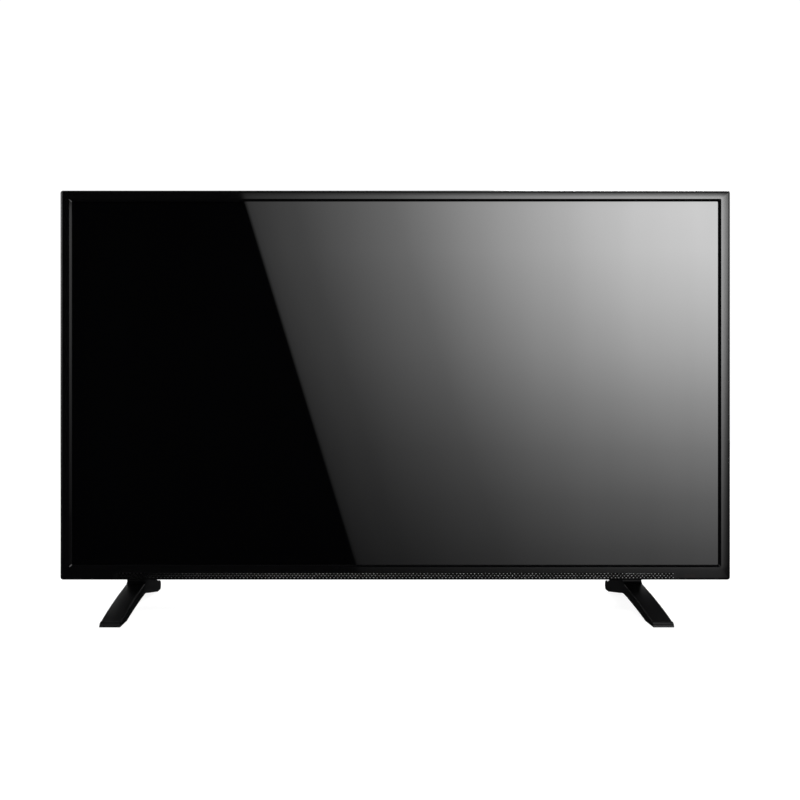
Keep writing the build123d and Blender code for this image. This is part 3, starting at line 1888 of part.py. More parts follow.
def inner_leads():
    """The speaker leads, the key lead and the receiver lead, each from its plug on the main board."""
    depth = plug_middle()
    low_plug_z = board_bottom + 2 * board_edge + plug_height / 2
    start_z = low_plug_z - plug_height / 2
    box_top = cover_floor + speaker_rise + speaker_height
    first_x = main_board_left + plug_width / 2 + board_edge / 2
    second_x = speaker_mid(1) - board_edge
    third_x = board_right - plug_width - 2 * board_edge
    room = start_z - box_top
    left_route = [
        lead_point(first_x - board_edge, depth, start_z),
        lead_point(first_x - board_edge, depth, start_z - room * 0.55),
        lead_point(first_x - 2.5 * board_edge, depth, box_top - room * 0.15),
        lead_point(first_x - 6.5 * board_edge, depth, box_top - room * 0.36),
        lead_point(first_x * 0.35, depth, box_top - room * 0.42),
        lead_point(-first_x * 0.05, depth, box_top - room * 0.36),
        lead_point(-first_x * 0.4, depth, box_top - room * 0.43),
        lead_point(-first_x * 0.72, depth, box_top - room * 0.38),
        lead_point(-speaker_start, depth, box_top - room * 0.38),
    ]
    right_route = [
        lead_point(second_x, depth, start_z),
        lead_point(second_x, depth, start_z - room * 0.33),
        lead_point(second_x + board_edge, depth, start_z - room * 0.68),
        lead_point(second_x + board_edge, depth, box_top),
    ]
    key_z = key_mid + 1.5 * key_pitch
    key_face = key_board_x() + board_thickness
    key_route = [
        lead_point(main_board_left + board_edge / 2, depth, key_z - board_edge),
        lead_point(main_board_left - 5 * board_edge, depth, key_z - board_edge * 0.8),
        lead_point(main_board_left * 0.4, depth, key_z),
        lead_point(0, depth, key_z + board_edge * 0.4),
        lead_point(-main_board_left * 0.4, depth, key_z + board_edge * 0.1),
        lead_point(-main_board_left * 0.8, depth, key_z + board_edge * 0.4),
        lead_point(key_face * 0.4, depth, key_z),
        lead_point(key_face * 0.53, depth, key_z + board_edge * 0.3),
        lead_point(key_face * 0.66, depth + plug_depth * 0.3, key_z),
        lead_point(key_face * 0.78, depth + plug_depth, key_z + board_edge * 0.2),
        lead_point(key_face * 0.89, key_column_depth, key_z),
        lead_point(key_face, key_column_depth, key_z),
    ]
    gap_depth = (tray_back + cover_flat_depth - cover_wall) / 2
    ir_back = ir_board_depth + board_thickness
    ir_z = strip_mid + board_edge * 0.35
    ir_route = [
        lead_point(third_x, depth, start_z),
        lead_point(third_x + board_edge / 2, depth - plug_depth * 0.2, start_z - room * 0.5),
        lead_point(third_x + 5 * board_edge, depth - plug_depth * 0.6, box_top + board_edge),
        lead_point(foot_right_x, gap_depth + plug_depth * 0.8, box_top + board_edge * 1.2),
        lead_point(window_x() - 5.5 * board_edge, gap_depth + plug_depth * 0.1, box_top),
        lead_point(window_x() - 2 * board_edge, gap_depth, box_top - 4 * board_edge),
        lead_point(window_x(), tray_back + board_edge * 0.2, frame_low + 2.9 * board_edge),
        lead_point(window_x(), tray_back - board_edge * 0.5, ir_z + 2.1 * board_edge),
        lead_point(window_x(), ir_back + 2 * board_edge, ir_z + 0.8 * board_edge),
        lead_point(window_x(), ir_back + board_edge, ir_z),
        lead_point(window_x(), ir_back, ir_z),
    ]
    plugs = [
        plug(first_x, low_plug_z),
        plug(second_x, low_plug_z),
        plug(third_x, low_plug_z),
        plug(main_board_left + board_edge / 2 + plug_width / 2, key_z - board_edge),
    ]
    leads = [
        tube("left speaker lead", left_route, lead_radius),
        tube("right speaker lead", right_route, lead_radius),
        tube("key lead", key_route, lead_radius),
        tube("receiver lead", ir_route, lead_radius),
    ]
    return plugs + leads


# Feet


def foot_point(share):
    """Turns shares of the foot's length and of its top height into a place in the side view."""
    along, up = share
    return (-foot_length / 2 + along * foot_length, up * foot_top)


def foot_profile():
    def sole(along_share):
        return (-foot_length / 2 + along_share * foot_length, foot_sole)

    post_front_top = (foot_point(post_front_share)[0], foot_top)
    post_rear_top = (foot_point(post_rear_share)[0], foot_top)
    lines = Line(sole(front_sole_share), sole(0))
    lines += ThreePointArc(sole(0), foot_point(nose_round_share), foot_point(nose_top_share))
    lines += ThreePointArc(foot_point(nose_top_share), foot_point(instep_share), foot_point(ankle_share))
    lines += Line(foot_point(ankle_share), foot_point(post_front_share))
    lines += Line(foot_point(post_front_share), post_front_top)
    lines += Line(post_front_top, post_rear_top)
    lines += Line(post_rear_top, foot_point(post_rear_share))
    lines += ThreePointArc(foot_point(post_rear_share), foot_point(heel_bow_share), foot_point(heel_top_share))
    lines += ThreePointArc(foot_point(heel_top_share), foot_point(heel_tip_share), sole(heel_foot_share))
    lines += Line(sole(heel_foot_share), sole(rear_sole_share))
    lines += Line(sole(rear_sole_share), foot_point(arch_rear_share))
    lines += ThreePointArc(
        foot_point(arch_rear_share), foot_point(arch_crown_share), foot_point(arch_front_share)
    )
    lines += ThreePointArc(foot_point(arch_front_share), foot_point(arch_bow_share), sole(front_sole_share))
    return make_face(lines)


def pad_places(x):
    """Middle and length of the front and the rear pad, along Y."""
    front = -foot_length / 2 + front_pad_share * foot_length
    rear = -foot_length / 2 + rear_pad_share * foot_length
    return [(x, front, foot_front_pad), (x, rear, foot_rear_pad)]


def foot(x):
    body = extrude(Plane.YZ * foot_profile(), amount=foot_width / 2, both=True)
    sides = body.faces().sort_by(Axis.X)
    curved = (sides[0].edges() + sides[-1].edges()).filter_by(GeomType.CIRCLE)
    body = fillet([edge for edge in curved if edge.length > 2 * foot_top * edge_share], foot_edge_radius)
    body = Pos(x, 0, 0) * body
    for px, y, length in pad_places(x):
        pocket_width = foot_pad_width + 2 * foot_pad_gap
        pocket_length = length + 2 * foot_pad_gap
        pocket_top = foot_pad_thickness
        pocket = Box(pocket_width, pocket_length, pocket_top + overrun)
        body -= Pos(px, y, (pocket_top - overrun) / 2) * pocket
    for depth in foot_screw_depths():
        body -= rod_z(x, depth, m4_radius + screw_hole_gap, 0, foot_top + overrun)
        body -= rod_z(x, depth, m4_head_radius + foot_screw_well_gap, 0, foot_screw_seat)
    return body


def foot_pads():
    pads = []
    for x in foot_xs:
        for px, y, length in pad_places(x):
            pads.append(
                Pos(px, y, foot_pad_thickness / 2) * Box(foot_pad_width, length, foot_pad_thickness)
            )
    return pads


def foot_screws():
    upward = Rot(180, 0, 0) * screw(m4_radius, m4_head_radius, m4_head_height, foot_screw_length)
    screws = []
    for x in foot_xs:
        for depth in foot_screw_depths():
            screws.append(Pos(x, front_y + depth, foot_screw_seat) * upward)
    return screws


os.makedirs("parts", exist_ok=True)

save(front_bezel(), "front_bezel")
save(grille_strip(), "grille_strip")
save(ir_window(), "ir_window")
save(panel_gasket(), "panel_gasket")
save(polariser(polariser_depth), "front_polariser")
save(lcd_cell(), "lcd_cell")
save(polariser(rear_polariser_depth), "rear_polariser")
save(source_boards(), "source_boards")
save(cof_films(), "cof_films")
save(mid_frame(), "mid_frame")
save(optical_sheet(prism_depth, sheet_thickness), "prism_sheet")
save(optical_sheet(sheet_depth, sheet_thickness), "diffuser_sheet")
save(optical_sheet(diffuser_depth, diffuser_thickness), "diffuser_plate")
save(reflector_sheet(), "reflector_sheet")
save(led_bars(), "led_bars")
save(led_lenses(), "led_lenses")
save(diffuser_supports(), "diffuser_supports")
save(backlight_chassis(), "backlight_chassis")
save(vesa_standoffs(), "vesa_standoffs")
save(foot_brackets(), "foot_brackets")
save(main_board(), "main_board")
save(main_board_chips(), "main_board_chips")
save(main_heatsink(), "main_heatsink")
save(hdmi_sockets(), "hdmi_sockets")
save(usb_sockets(), "usb_sockets")
save(network_socket(), "network_socket")
save(aerial_socket(), "aerial_socket")
save(audio_sockets(), "audio_sockets")
save(tcon_board(), "tcon_board")
save(flat_cables(), "flat_cables")
save(power_board(), "power_board")
save(power_transformers(), "power_transformers")
save(power_capacitors(), "power_capacitors")
save(power_heatsinks(), "power_heatsinks")
save(power_harness(), "power_harness")
save(ir_board(), "ir_board")
save(key_board(), "key_board")
save(tact_switches(), "tact_switches")
for key_name, key_z in key_places():
    save(key(key_z), "key_" + key_name)
save(mains_inlet(), "mains_inlet")
save(mains_switch(), "mains_switch")
save(mains_rocker(), "mains_rocker")
for side_name, side in (("left", -1), ("right", 1)):
    save(speaker_box(side), "speaker_box_" + side_name)
save([speaker_cone(side) for side in (-1, 1)], "speaker_cones")
save([speaker_magnet(side) for side in (-1, 1)], "speaker_magnets")
save(inner_leads(), "inner_leads")
save(rear_cover(), "rear_cover")
save(cover_screws(), "cover_screws")
save(board_screws(), "board_screws")
save(foot(foot_left_x), "foot_left")
save(foot(foot_right_x), "foot_right")
save(foot_screws(), "foot_screws")
save(foot_pads(), "foot_pads")
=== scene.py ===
import json
from math import radians

import bpy
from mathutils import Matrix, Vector

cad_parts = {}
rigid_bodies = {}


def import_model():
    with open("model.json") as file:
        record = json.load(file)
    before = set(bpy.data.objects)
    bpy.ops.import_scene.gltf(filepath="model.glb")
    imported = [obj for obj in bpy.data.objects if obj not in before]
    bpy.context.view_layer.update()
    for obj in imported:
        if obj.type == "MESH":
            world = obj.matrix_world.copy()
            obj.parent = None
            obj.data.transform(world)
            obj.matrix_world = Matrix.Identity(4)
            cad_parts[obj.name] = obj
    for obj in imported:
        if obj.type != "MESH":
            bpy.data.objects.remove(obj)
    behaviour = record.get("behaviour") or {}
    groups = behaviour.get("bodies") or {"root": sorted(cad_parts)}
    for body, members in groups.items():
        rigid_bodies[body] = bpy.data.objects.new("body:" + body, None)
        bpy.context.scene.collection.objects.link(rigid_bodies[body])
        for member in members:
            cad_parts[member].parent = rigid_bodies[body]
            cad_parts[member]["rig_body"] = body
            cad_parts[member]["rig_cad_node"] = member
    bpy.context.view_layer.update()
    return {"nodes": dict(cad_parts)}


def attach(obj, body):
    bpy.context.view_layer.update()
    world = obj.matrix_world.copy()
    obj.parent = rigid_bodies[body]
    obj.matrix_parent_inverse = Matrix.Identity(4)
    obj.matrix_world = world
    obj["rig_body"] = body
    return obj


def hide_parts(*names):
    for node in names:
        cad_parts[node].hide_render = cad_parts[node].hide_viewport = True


# Flat screen television on two feet. Metres; the screen looks along -Y and the back along +Y.

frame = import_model()
nodes = frame["nodes"]
scene = bpy.context.scene
scene.view_settings.view_transform = "Standard"
print("frame loaded:", len(nodes), "nodes")


# Shader helpers

class Signal:
    # a socket that can be used in arithmetic; each operation adds one Math node
    def __init__(self, tree, socket):
        self.tree = tree
        self.socket = socket

    def maths(self, operation, first, second=0.0, clamp=False):
        made = self.tree.nodes.new("ShaderNodeMath")
        made.operation = operation
        made.use_clamp = clamp
        for index, item in enumerate((first, second)):
            if isinstance(item, Signal):
                self.tree.links.new(item.socket, made.inputs[index])
            else:
                made.inputs[index].default_value = item
        return Signal(self.tree, made.outputs[0])

    def __add__(self, other):
        return self.maths("ADD", self, other)

    def __sub__(self, other):
        return self.maths("SUBTRACT", self, other)

    def __rsub__(self, other):
        return self.maths("SUBTRACT", other, self)

    def __mul__(self, other):
        return self.maths("MULTIPLY", self, other)

    def __gt__(self, other):
        return self.maths("GREATER_THAN", self, other)

    def __abs__(self):
        return self.maths("ABSOLUTE", self)

    def repeat(self, step):
        # moved up by many steps first, so the pattern doesn't mirror where the place turns negative
        return self.maths("MODULO", self + 1000 * step, step)

    def clamped(self):
        return self.maths("ADD", self, 0.0, clamp=True)

    def along(self, start, span):
        # 0 at the start and 1 a span further on
        return (self - start) * (1 / span)

    __radd__ = __add__
    __rmul__ = __mul__


class Finish:
    # a material under construction; what the shader holds everywhere goes in as plain settings
    def __init__(self, name, **shaderValues):
        self.material = bpy.data.materials.new(name)
        self.material.use_nodes = True
        self.tree = self.material.node_tree
        self.shader = self.tree.nodes["Principled BSDF"]
        for key, value in shaderValues.items():
            self.shader.inputs[key.replace("_", " ")].default_value = value
        self.place = self.node("TexCoord", out="Object")

    def node(self, kind, settings=None, out=0, **sockets):
        made = self.tree.nodes.new("ShaderNode" + kind)
        for key, value in (settings or {}).items():
            if key == "stops":
                ramp = made.color_ramp
                while len(ramp.elements) < len(value):
                    ramp.elements.new(0.5)
                for element, (position, shade) in zip(ramp.elements, value):
                    element.position = position
                    element.color = (shade, shade, shade, 1)
            else:
                setattr(made, key, value)
        for key, value in sockets.items():
            socket = made.inputs[key.replace("_", " ")]
            if isinstance(value, Signal):
                self.tree.links.new(value.socket, socket)
            else:
                socket.default_value = value
        return Signal(self.tree, made.outputs[out])

    def stretched(self, x, y, z):
        return self.node("Mapping", Vector=self.place, Scale=(x, y, z))

    def axis(self, letter):
        return self.node("SeparateXYZ", out=letter, Vector=self.place)

    def noise(self, scale, detail=3.0, rough=0.5, place=None):
        return self.node("TexNoise", Vector=place or self.place, Scale=scale, Detail=detail, Roughness=rough)

    def cells(self, scale, out="Distance", feature="F1"):
        return self.node("TexVoronoi", {"feature": feature}, out, Vector=self.place, Scale=scale)

    def shades(self, factor, stops):
        return self.node("ValToRGB", {"stops": stops}, out="Color", Fac=factor)

    def between(self, factor, low, high):
        # from one number to another as the factor goes from 0 to 1
        return factor * (high - low) + low

    def colour(self, factor, first, second):
        # in the colour mixer, 0 is the factor, 6 and 7 are the two colours and 2 is the result
        made = self.tree.nodes.new("ShaderNodeMix")
        made.data_type = "RGBA"
        self.tree.links.new(factor.socket, made.inputs[0])
        for index, item in ((6, first), (7, second)):
            if isinstance(item, Signal):
                self.tree.links.new(item.socket, made.inputs[index])
            else:
                made.inputs[index].default_value = (*item, 1)
        return Signal(self.tree, made.outputs[2])

    def feed(self, **sockets):
        for key, value in sockets.items():
            self.tree.links.new(value.socket, self.shader.inputs[key.replace("_", " ")])

    def bump(self, height, distance, strength):
        self.feed(Normal=self.node("Bump", out="Normal", Height=height, Distance=distance, Strength=strength))


def scaled(tone, share, extra=0.0):
    return tuple(value * share + extra for value in tone)


# Finishes; sizes of grain and bump are in metres

def glossMoulding(name, tone, rough, coat, specular=0.5):
    # polished moulding: faint ripple of the tool and a few wiped smears
    made = Finish(name, Coat_Weight=coat, Coat_Roughness=0.02, Specular_IOR_Level=specular)
    smear = made.noise(scale=9.0, detail=4.0, rough=0.6, place=made.stretched(1.0, 1.0, 2.6))
    speck = made.cells(scale=900.0)
    ripple = made.noise(scale=70.0, detail=2.0)
    made.feed(Base_Color=made.colour(smear, tone, scaled(tone, 1.5)))
    made.feed(Roughness=made.between(smear, *rough))
    made.bump(ripple * 0.8 + speck * 0.2, distance=0.000012, strength=0.35)
    return made.material


glossLooks = {
    "bezelGloss": {"tone": (0.0012, 0.0012, 0.0013), "rough": (0.03, 0.07), "coat": 0.35},
    "stripGloss": {"tone": (0.002, 0.002, 0.0021), "rough": (0.16, 0.24), "coat": 0.0, "specular": 0.4},
    "smokedWindow": {"tone": (0.0022, 0.0012, 0.0012), "rough": (0.04, 0.08), "coat": 0.4},
    "rockerGloss": {"tone": (0.004, 0.004, 0.0042), "rough": (0.12, 0.2), "coat": 0.2},
}


def grainMoulding(name, tone, grain, depth, rough, specular=0.45):
    # moulding with an etched leather-like grain, slightly shinier on the tops of the grain
    made = Finish(name, Specular_IOR_Level=specular)
    pebble = made.cells(scale=1.0 / grain, feature="SMOOTH_F1")
    fine = made.noise(scale=2.2 / grain, detail=4.0, rough=0.6)
    drift = made.noise(scale=5.0)
    made.feed(Base_Color=made.colour(drift * 0.6 + fine * 0.4, tone, scaled(tone, 1.6)))
    made.feed(Roughness=made.between((pebble * 0.6 + drift * 0.4).clamped(), *rough))
    made.bump(pebble * 0.7 + fine * 0.3, distance=depth, strength=0.8)
    return made.material


grainLooks = {
    "coverGrain": {"tone": (0.011, 0.011, 0.0115), "grain": 0.0011, "depth": 0.00009, "rough": (0.45, 0.62)},
    "footSatin": {
        "tone": (0.0022, 0.0022, 0.0024), "grain": 0.0006, "depth": 0.00003, "rough": (0.3, 0.42),
        "specular": 0.28,
    },
    "keySatin": {"tone": (0.012, 0.012, 0.0125), "grain": 0.0004, "depth": 0.00002, "rough": (0.35, 0.48)},
    "frameMatt": {"tone": (0.002, 0.002, 0.002), "grain": 0.0004, "depth": 0.00002, "rough": (0.5, 0.6)},
    "framePlastic": {"tone": (0.016, 0.016, 0.017), "grain": 0.0007, "depth": 0.00004, "rough": (0.5, 0.65)},
    "socketPlastic": {"tone": (0.01, 0.01, 0.0105), "grain": 0.0004, "depth": 0.00001, "rough": (0.35, 0.5)},
    "chipEpoxy": {"tone": (0.014, 0.014, 0.015), "grain": 0.0003, "depth": 0.00001, "rough": (0.55, 0.7)},
}


def sheetMetal(name, tone, rough, spangle):
    # rolled sheet with the crystal pattern of its zinc, and light scuffs along X
    made = Finish(name, Metallic=1.0)
    crystal = made.cells(scale=1.0 / spangle, out="Color")
    grey = made.node("RGBToBW", Color=crystal)
    scuff = made.noise(scale=260.0, rough=0.6, place=made.stretched(0.06, 1.0, 1.0))
    made.feed(Base_Color=made.colour(grey, tone, scaled(tone, 1.3)))
    made.feed(Roughness=made.between((grey * 0.5 + scuff * 0.5).clamped(), rough * 0.8, rough * 1.3))
    made.bump(scuff, distance=0.00002, strength=0.3)
    return made.material


sheetLooks = {
    "traySteel": {"tone": (0.5, 0.51, 0.52), "rough": 0.34, "spangle": 0.009},
}


def machinedMetal(name, tone, rough, line):
    # drawn or turned metal with fine lines across Z
    made = Finish(name, Metallic=1.0)
    lines = made.noise(scale=line, rough=0.7, place=made.stretched(0.15, 0.15, 1.0))
    tarnish = made.noise(scale=40.0)
    made.feed(Base_Color=made.colour(tarnish, tone, scaled(tone, 0.8)))
    made.feed(Roughness=made.between(lines, rough * 0.7, rough * 1.4))
    made.bump(lines, distance=0.00001, strength=0.4)
    return made.material


metalLooks = {
    "finAluminium": {"tone": (0.72, 0.73, 0.74), "rough": 0.3, "line": 900.0},
    "turnedSteel": {"tone": (0.5, 0.5, 0.5), "rough": 0.26, "line": 2600.0},
    "nickel": {"tone": (0.66, 0.64, 0.6), "rough": 0.2, "line": 1800.0},
    "blackScrew": {"tone": (0.035, 0.035, 0.038), "rough": 0.36, "line": 2200.0},
    "goldPlate": {"tone": (0.83, 0.56, 0.2), "rough": 0.2, "line": 2400.0},
}

tracks = {
    "pitch": 0.0021, "gap": 0.0013, "crossPitch": 0.0027, "crossGap": 0.0019, "patch": 0.52,
    "dot": 0.16, "solder": (0.72, 0.7, 0.64), "maskRough": 0.42, "trackRough": 0.32,
}


def boardMask(name, mask, copper):
    # solder mask over copper tracks, with dots of solder on the pads
    made = Finish(name, Coat_Weight=0.25, Coat_Roughness=0.12)
    track = made.axis("X").repeat(tracks["pitch"]) > tracks["gap"]
    crossing = made.axis("Z").repeat(tracks["crossPitch"]) > tracks["crossGap"]
    patch = made.noise(scale=30.0, detail=1.0) > tracks["patch"]
    raised = (track * patch + crossing * (1 - patch)).clamped()
    pads = made.cells(scale=170.0)
    dots = (tracks["dot"] - pads > 0.0).clamped()
    made.feed(Base_Color=made.colour(dots, made.colour(raised, mask, copper), tracks["solder"]))
    made.feed(Metallic=dots)
    made.feed(Roughness=made.between(raised, tracks["maskRough"], tracks["trackRough"]))
    made.bump(raised + dots, distance=0.00004, strength=0.6)
    return made.material


boardLooks = {
    "greenBoard": {"mask": (0.008, 0.07, 0.026), "copper": (0.02, 0.13, 0.045)},
    "tanBoard": {"mask": (0.36, 0.23, 0.09), "copper": (0.42, 0.28, 0.12)},
    "whiteBoard": {"mask": (0.78, 0.78, 0.76), "copper": (0.68, 0.68, 0.66)},
}


def softSkin(name, tone, rough, depth, pores):
    # rubber, foam, paper and lead sleeves: fine pores and dusty patches
    made = Finish(name, Specular_IOR_Level=0.3, Sheen_Weight=0.1)
    pore = made.cells(scale=pores)
    dust = made.noise(scale=14.0, detail=4.0, rough=0.6)
    made.feed(Base_Color=made.colour(dust, tone, scaled(tone, 1.5, 0.004)))
    made.feed(Roughness=made.between(dust, rough, min(1.0, rough + 0.15)))
    made.bump(pore, distance=depth, strength=0.7)
    return made.material


skinLooks = {
    "rubberPad": {"tone": (0.012, 0.012, 0.012), "rough": 0.8, "depth": 0.00005, "pores": 1400.0},
    "foamStrip": {"tone": (0.01, 0.01, 0.01), "rough": 0.9, "depth": 0.0002, "pores": 1800.0},
    "leadSleeve": {"tone": (0.014, 0.014, 0.015), "rough": 0.5, "depth": 0.00002, "pores": 900.0},
    "conePaper": {"tone": (0.02, 0.019, 0.018), "rough": 0.85, "depth": 0.00008, "pores": 2400.0},
    "canSleeve": {"tone": (0.012, 0.012, 0.03), "rough": 0.35, "depth": 0.00001, "pores": 600.0},
    "ferrite": {"tone": (0.05, 0.046, 0.046), "rough": 0.6, "depth": 0.00006, "pores": 1500.0},
    "magnetBlack": {"tone": (0.04, 0.04, 0.041), "rough": 0.5, "depth": 0.00006, "pores": 1200.0},
    "whiteCable": {"tone": (0.7, 0.7, 0.68), "rough": 0.45, "depth": 0.00002, "pores": 1000.0},
}


def opticalFilm(name, tone, rough, pitch):
    # sheets of the backlight with their very fine ribs across the screen
    made = Finish(name, Transmission_Weight=0.15)
    rib = abs(made.axis("Z").repeat(pitch) - pitch / 2) * (2 / pitch)
    haze = made.noise(scale=6.0)
    made.feed(Base_Color=made.colour(haze, tone, scaled(tone, 0.95)))
    made.feed(Roughness=made.between(haze, rough, rough + 0.1))
    made.bump(rib, distance=0.00005, strength=0.4)
    return made.material


filmLooks = {
    "opticalFilm": {"tone": (0.82, 0.84, 0.86), "rough": 0.45, "pitch": 0.0008},
    "whiteFilm": {"tone": (0.9, 0.9, 0.89), "rough": 0.6, "pitch": 0.002},
    "amberFilm": {"tone": (0.4, 0.17, 0.03), "rough": 0.3, "pitch": 0.0006},
}


def clearMoulding(name, tone, rough, transmission):
    # glass and clear mouldings with the faint marks of their flow
    made = Finish(name, Transmission_Weight=transmission, IOR=1.49)
    flow = made.noise(scale=120.0, detail=2.0)
    made.feed(Base_Color=made.colour(flow, tone, scaled(tone, 0.96)))
    made.feed(Roughness=made.between(flow, rough, rough + 0.05))
    made.bump(flow, distance=0.00002, strength=0.2)
    return made.material


clearLooks = {
    "panelGlass": {"tone": (0.1, 0.11, 0.12), "rough": 0.04, "transmission": 0.2},
    "clearLens": {"tone": (0.85, 0.88, 0.9), "rough": 0.05, "transmission": 0.9},
}


def screenFace():
    # polariser film over the dark panel: almost no colour of its own, a very even mirror
    look = {"tone": (0.0004, 0.0004, 0.0005), "rough": 0.012, "coat": 1.0, "coatRough": 0.006}
    made = Finish("screenFace", Coat_Weight=look["coat"], Coat_Roughness=look["coatRough"])
    dust = made.cells(scale=45.0)
    haze = made.noise(scale=4.0)
    made.feed(Base_Color=made.colour(haze, look["tone"], scaled(look["tone"], 2.0)))
    made.feed(Roughness=made.between(haze, look["rough"], look["rough"] * 1.6))
    made.bump(dust, distance=0.000002, strength=0.1)
    return made.material


def knotShineWithPaintedShade():
    # light grey knots of the strip, with painted shade darkening them to near black towards its left end
    look = {
        "tone": (0.78, 0.78, 0.785), "paintedShadeTone": (0.004, 0.004, 0.004), "rough": 0.26,
        "paintedShadeUntil": -0.345, "paintedShadeFadeEnd": -0.15,
    }
    made = Finish("knotShineWithPaintedShade", Metallic=1.0)
    drawn = made.noise(scale=700.0, detail=2.0)
    # painted shade: the knots' colour falls from light grey to near black over the strip's left end
    outOfPaintedShade = made.axis("X").along(look["paintedShadeUntil"], look["paintedShadeFadeEnd"] - look["paintedShadeUntil"]).clamped()
    made.feed(Base_Color=made.colour(outOfPaintedShade, look["paintedShadeTone"], look["tone"]))
    made.feed(Roughness=made.between(drawn, look["rough"], look["rough"] * 1.3))
    made.bump(drawn, distance=0.000006, strength=0.3)
    return made.material


finishes = {"screenFace": screenFace(), "knotShineWithPaintedShade": knotShineWithPaintedShade()}
for maker, looks in (
    (glossMoulding, glossLooks), (grainMoulding, grainLooks), (sheetMetal, sheetLooks),
    (machinedMetal, metalLooks), (boardMask, boardLooks), (softSkin, skinLooks),
    (opticalFilm, filmLooks), (clearMoulding, clearLooks),
):
    for name, look in looks.items():
        finishes[name] = maker(name, **look)

# nodes that aren't listed are the keys
finishOfNode = {
    "front_bezel": "bezelGloss", "grille_strip": "stripGloss", "ir_window": "smokedWindow",
    "panel_gasket": "foamStrip", "front_polariser": "screenFace", "lcd_cell": "panelGlass",
    "rear_polariser": "screenFace", "source_boards": "greenBoard", "cof_films": "amberFilm",
    "mid_frame": "framePlastic", "prism_sheet": "opticalFilm", "diffuser_sheet": "opticalFilm",
    "diffuser_plate": "opticalFilm", "reflector_sheet": "whiteFilm", "led_bars": "whiteBoard",
    "led_lenses": "clearLens", "diffuser_supports": "clearLens", "backlight_chassis": "traySteel",
    "vesa_standoffs": "turnedSteel", "foot_brackets": "traySteel", "main_board": "greenBoard",
    "main_board_chips": "chipEpoxy", "main_heatsink": "finAluminium", "hdmi_sockets": "nickel",
    "usb_sockets": "nickel", "network_socket": "socketPlastic", "aerial_socket": "nickel",
    "audio_sockets": "socketPlastic", "tcon_board": "greenBoard", "flat_cables": "whiteCable",
    "power_board": "tanBoard", "power_transformers": "ferrite", "power_capacitors": "canSleeve",
    "power_heatsinks": "finAluminium", "power_harness": "leadSleeve", "ir_board": "greenBoard",
    "key_board": "greenBoard", "tact_switches": "chipEpoxy", "mains_inlet": "socketPlastic",
    "mains_switch": "socketPlastic", "mains_rocker": "rockerGloss", "speaker_box_left": "framePlastic",
    "speaker_box_right": "framePlastic", "speaker_cones": "conePaper", "speaker_magnets": "magnetBlack",
    "inner_leads": "leadSleeve", "rear_cover": "coverGrain", "cover_screws": "blackScrew",
    "board_screws": "nickel", "foot_left": "footSatin", "foot_right": "footSatin",
    "foot_screws": "blackScrew", "foot_pads": "rubberPad",
}
for name, node in nodes.items():
    node.data.materials.clear()
    node.data.materials.append(finishes[finishOfNode.get(name, "keySatin")])
print("finishes:", len(finishes))


# Modelling helpers

def clearSelection():
    if bpy.context.object and bpy.context.object.mode == "EDIT":
        bpy.ops.object.mode_set(mode="OBJECT")
    bpy.ops.object.select_all(action="DESELECT")


def selectOnly(piece):
    clearSelection()
    piece.select_set(True)
    bpy.context.view_layer.objects.active = piece


def named(name, finish):
    piece = bpy.context.object
    piece.name = name
    piece.data.name = name
    piece.data.materials.clear()
    piece.data.materials.append(finishes[finish])
    return piece


def applied(piece):
    # modifiers and place go into the mesh, as a CAD node has them
    selectOnly(piece)
    for modifier in list(piece.modifiers):
        bpy.ops.object.modifier_apply(modifier=modifier.name)
    bpy.ops.object.transform_apply(location=True, rotation=True, scale=True)
    return piece


def joined(pieces, name, angle):
    # one object from several, smooth but for edges sharper than the angle
    clearSelection()
    for piece in pieces:
        piece.select_set(True)
    bpy.context.view_layer.objects.active = pieces[0]
    bpy.ops.object.join()
    whole = bpy.context.object
    whole.name = name
    whole.data.name = name
    selectOnly(whole)
    bpy.ops.object.shade_smooth_by_angle(angle=radians(angle))
    return whole


def repeated(piece, count, offset):
    row = piece.modifiers.new("row", "ARRAY")
    row.count = count
    row.use_relative_offset = False
    row.use_constant_offset = True
    row.constant_offset_displace = offset
    return piece


def rounded(piece, width, segments=2, angle=30):
    # breaks the edges that are sharper than the angle
    edge = piece.modifiers.new("edge", "BEVEL")
    edge.width = width
    edge.segments = segments
    edge.limit_method = "ANGLE"
    edge.angle_limit = radians(angle)


def softenedCopy(nodeName, body, width, angle):
    # a merged copy of a CAD node with its sharp edges broken, which stands in for the node
    source = nodes[nodeName]
    piece = source.copy()
    piece.data = source.data.copy()
    piece.parent = None
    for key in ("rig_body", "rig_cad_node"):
        if key in piece:
            del piece[key]
    scene.collection.objects.link(piece)
    selectOnly(piece)
    piece.name = nodeName + ".finished"
    bpy.ops.object.mode_set(mode="EDIT")
    bpy.ops.mesh.select_all(action="SELECT")
    bpy.ops.mesh.remove_doubles(threshold=0.00001)
    bpy.ops.object.mode_set(mode="OBJECT")
    rounded(piece, width, angle=angle)
    bpy.ops.object.shade_smooth_by_angle(angle=radians(angle))
    flat = piece.modifiers.new("flat", "WEIGHTED_NORMAL")
    flat.weight = 100
    flat.keep_sharp = True
    applied(piece)
    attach(piece, body)
    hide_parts(nodeName)
    return piece


# Front frame and feet with their edges broken

frontEdges = {"frame": 0.00012, "frameAngle": 20, "foot": 0.0004, "footAngle": 28}
opening = {"halfWidth": 0.4438, "low": 0.0637, "high": 0.5639, "mostLean": 0.3}


def frontFrame():
    # the polished frame, with the wall round the screen left matt from the tool
    piece = softenedCopy("front_bezel", "set", frontEdges["frame"], frontEdges["frameAngle"])
    piece.data.materials.append(finishes["frameMatt"])
    for face in piece.data.polygons:
        level = opening["low"] < face.center.z < opening["high"]
        inside = level and abs(face.center.x) < opening["halfWidth"]
        if inside and abs(face.normal.y) < opening["mostLean"]:
            face.material_index = 1


frontFrame()
for name in ("foot_left", "foot_right"):
    softenedCopy(name, "set", frontEdges["foot"], frontEdges["footAngle"])
print("front frame and feet")


# Rear cover, keys and rocker with their moulded edges broken

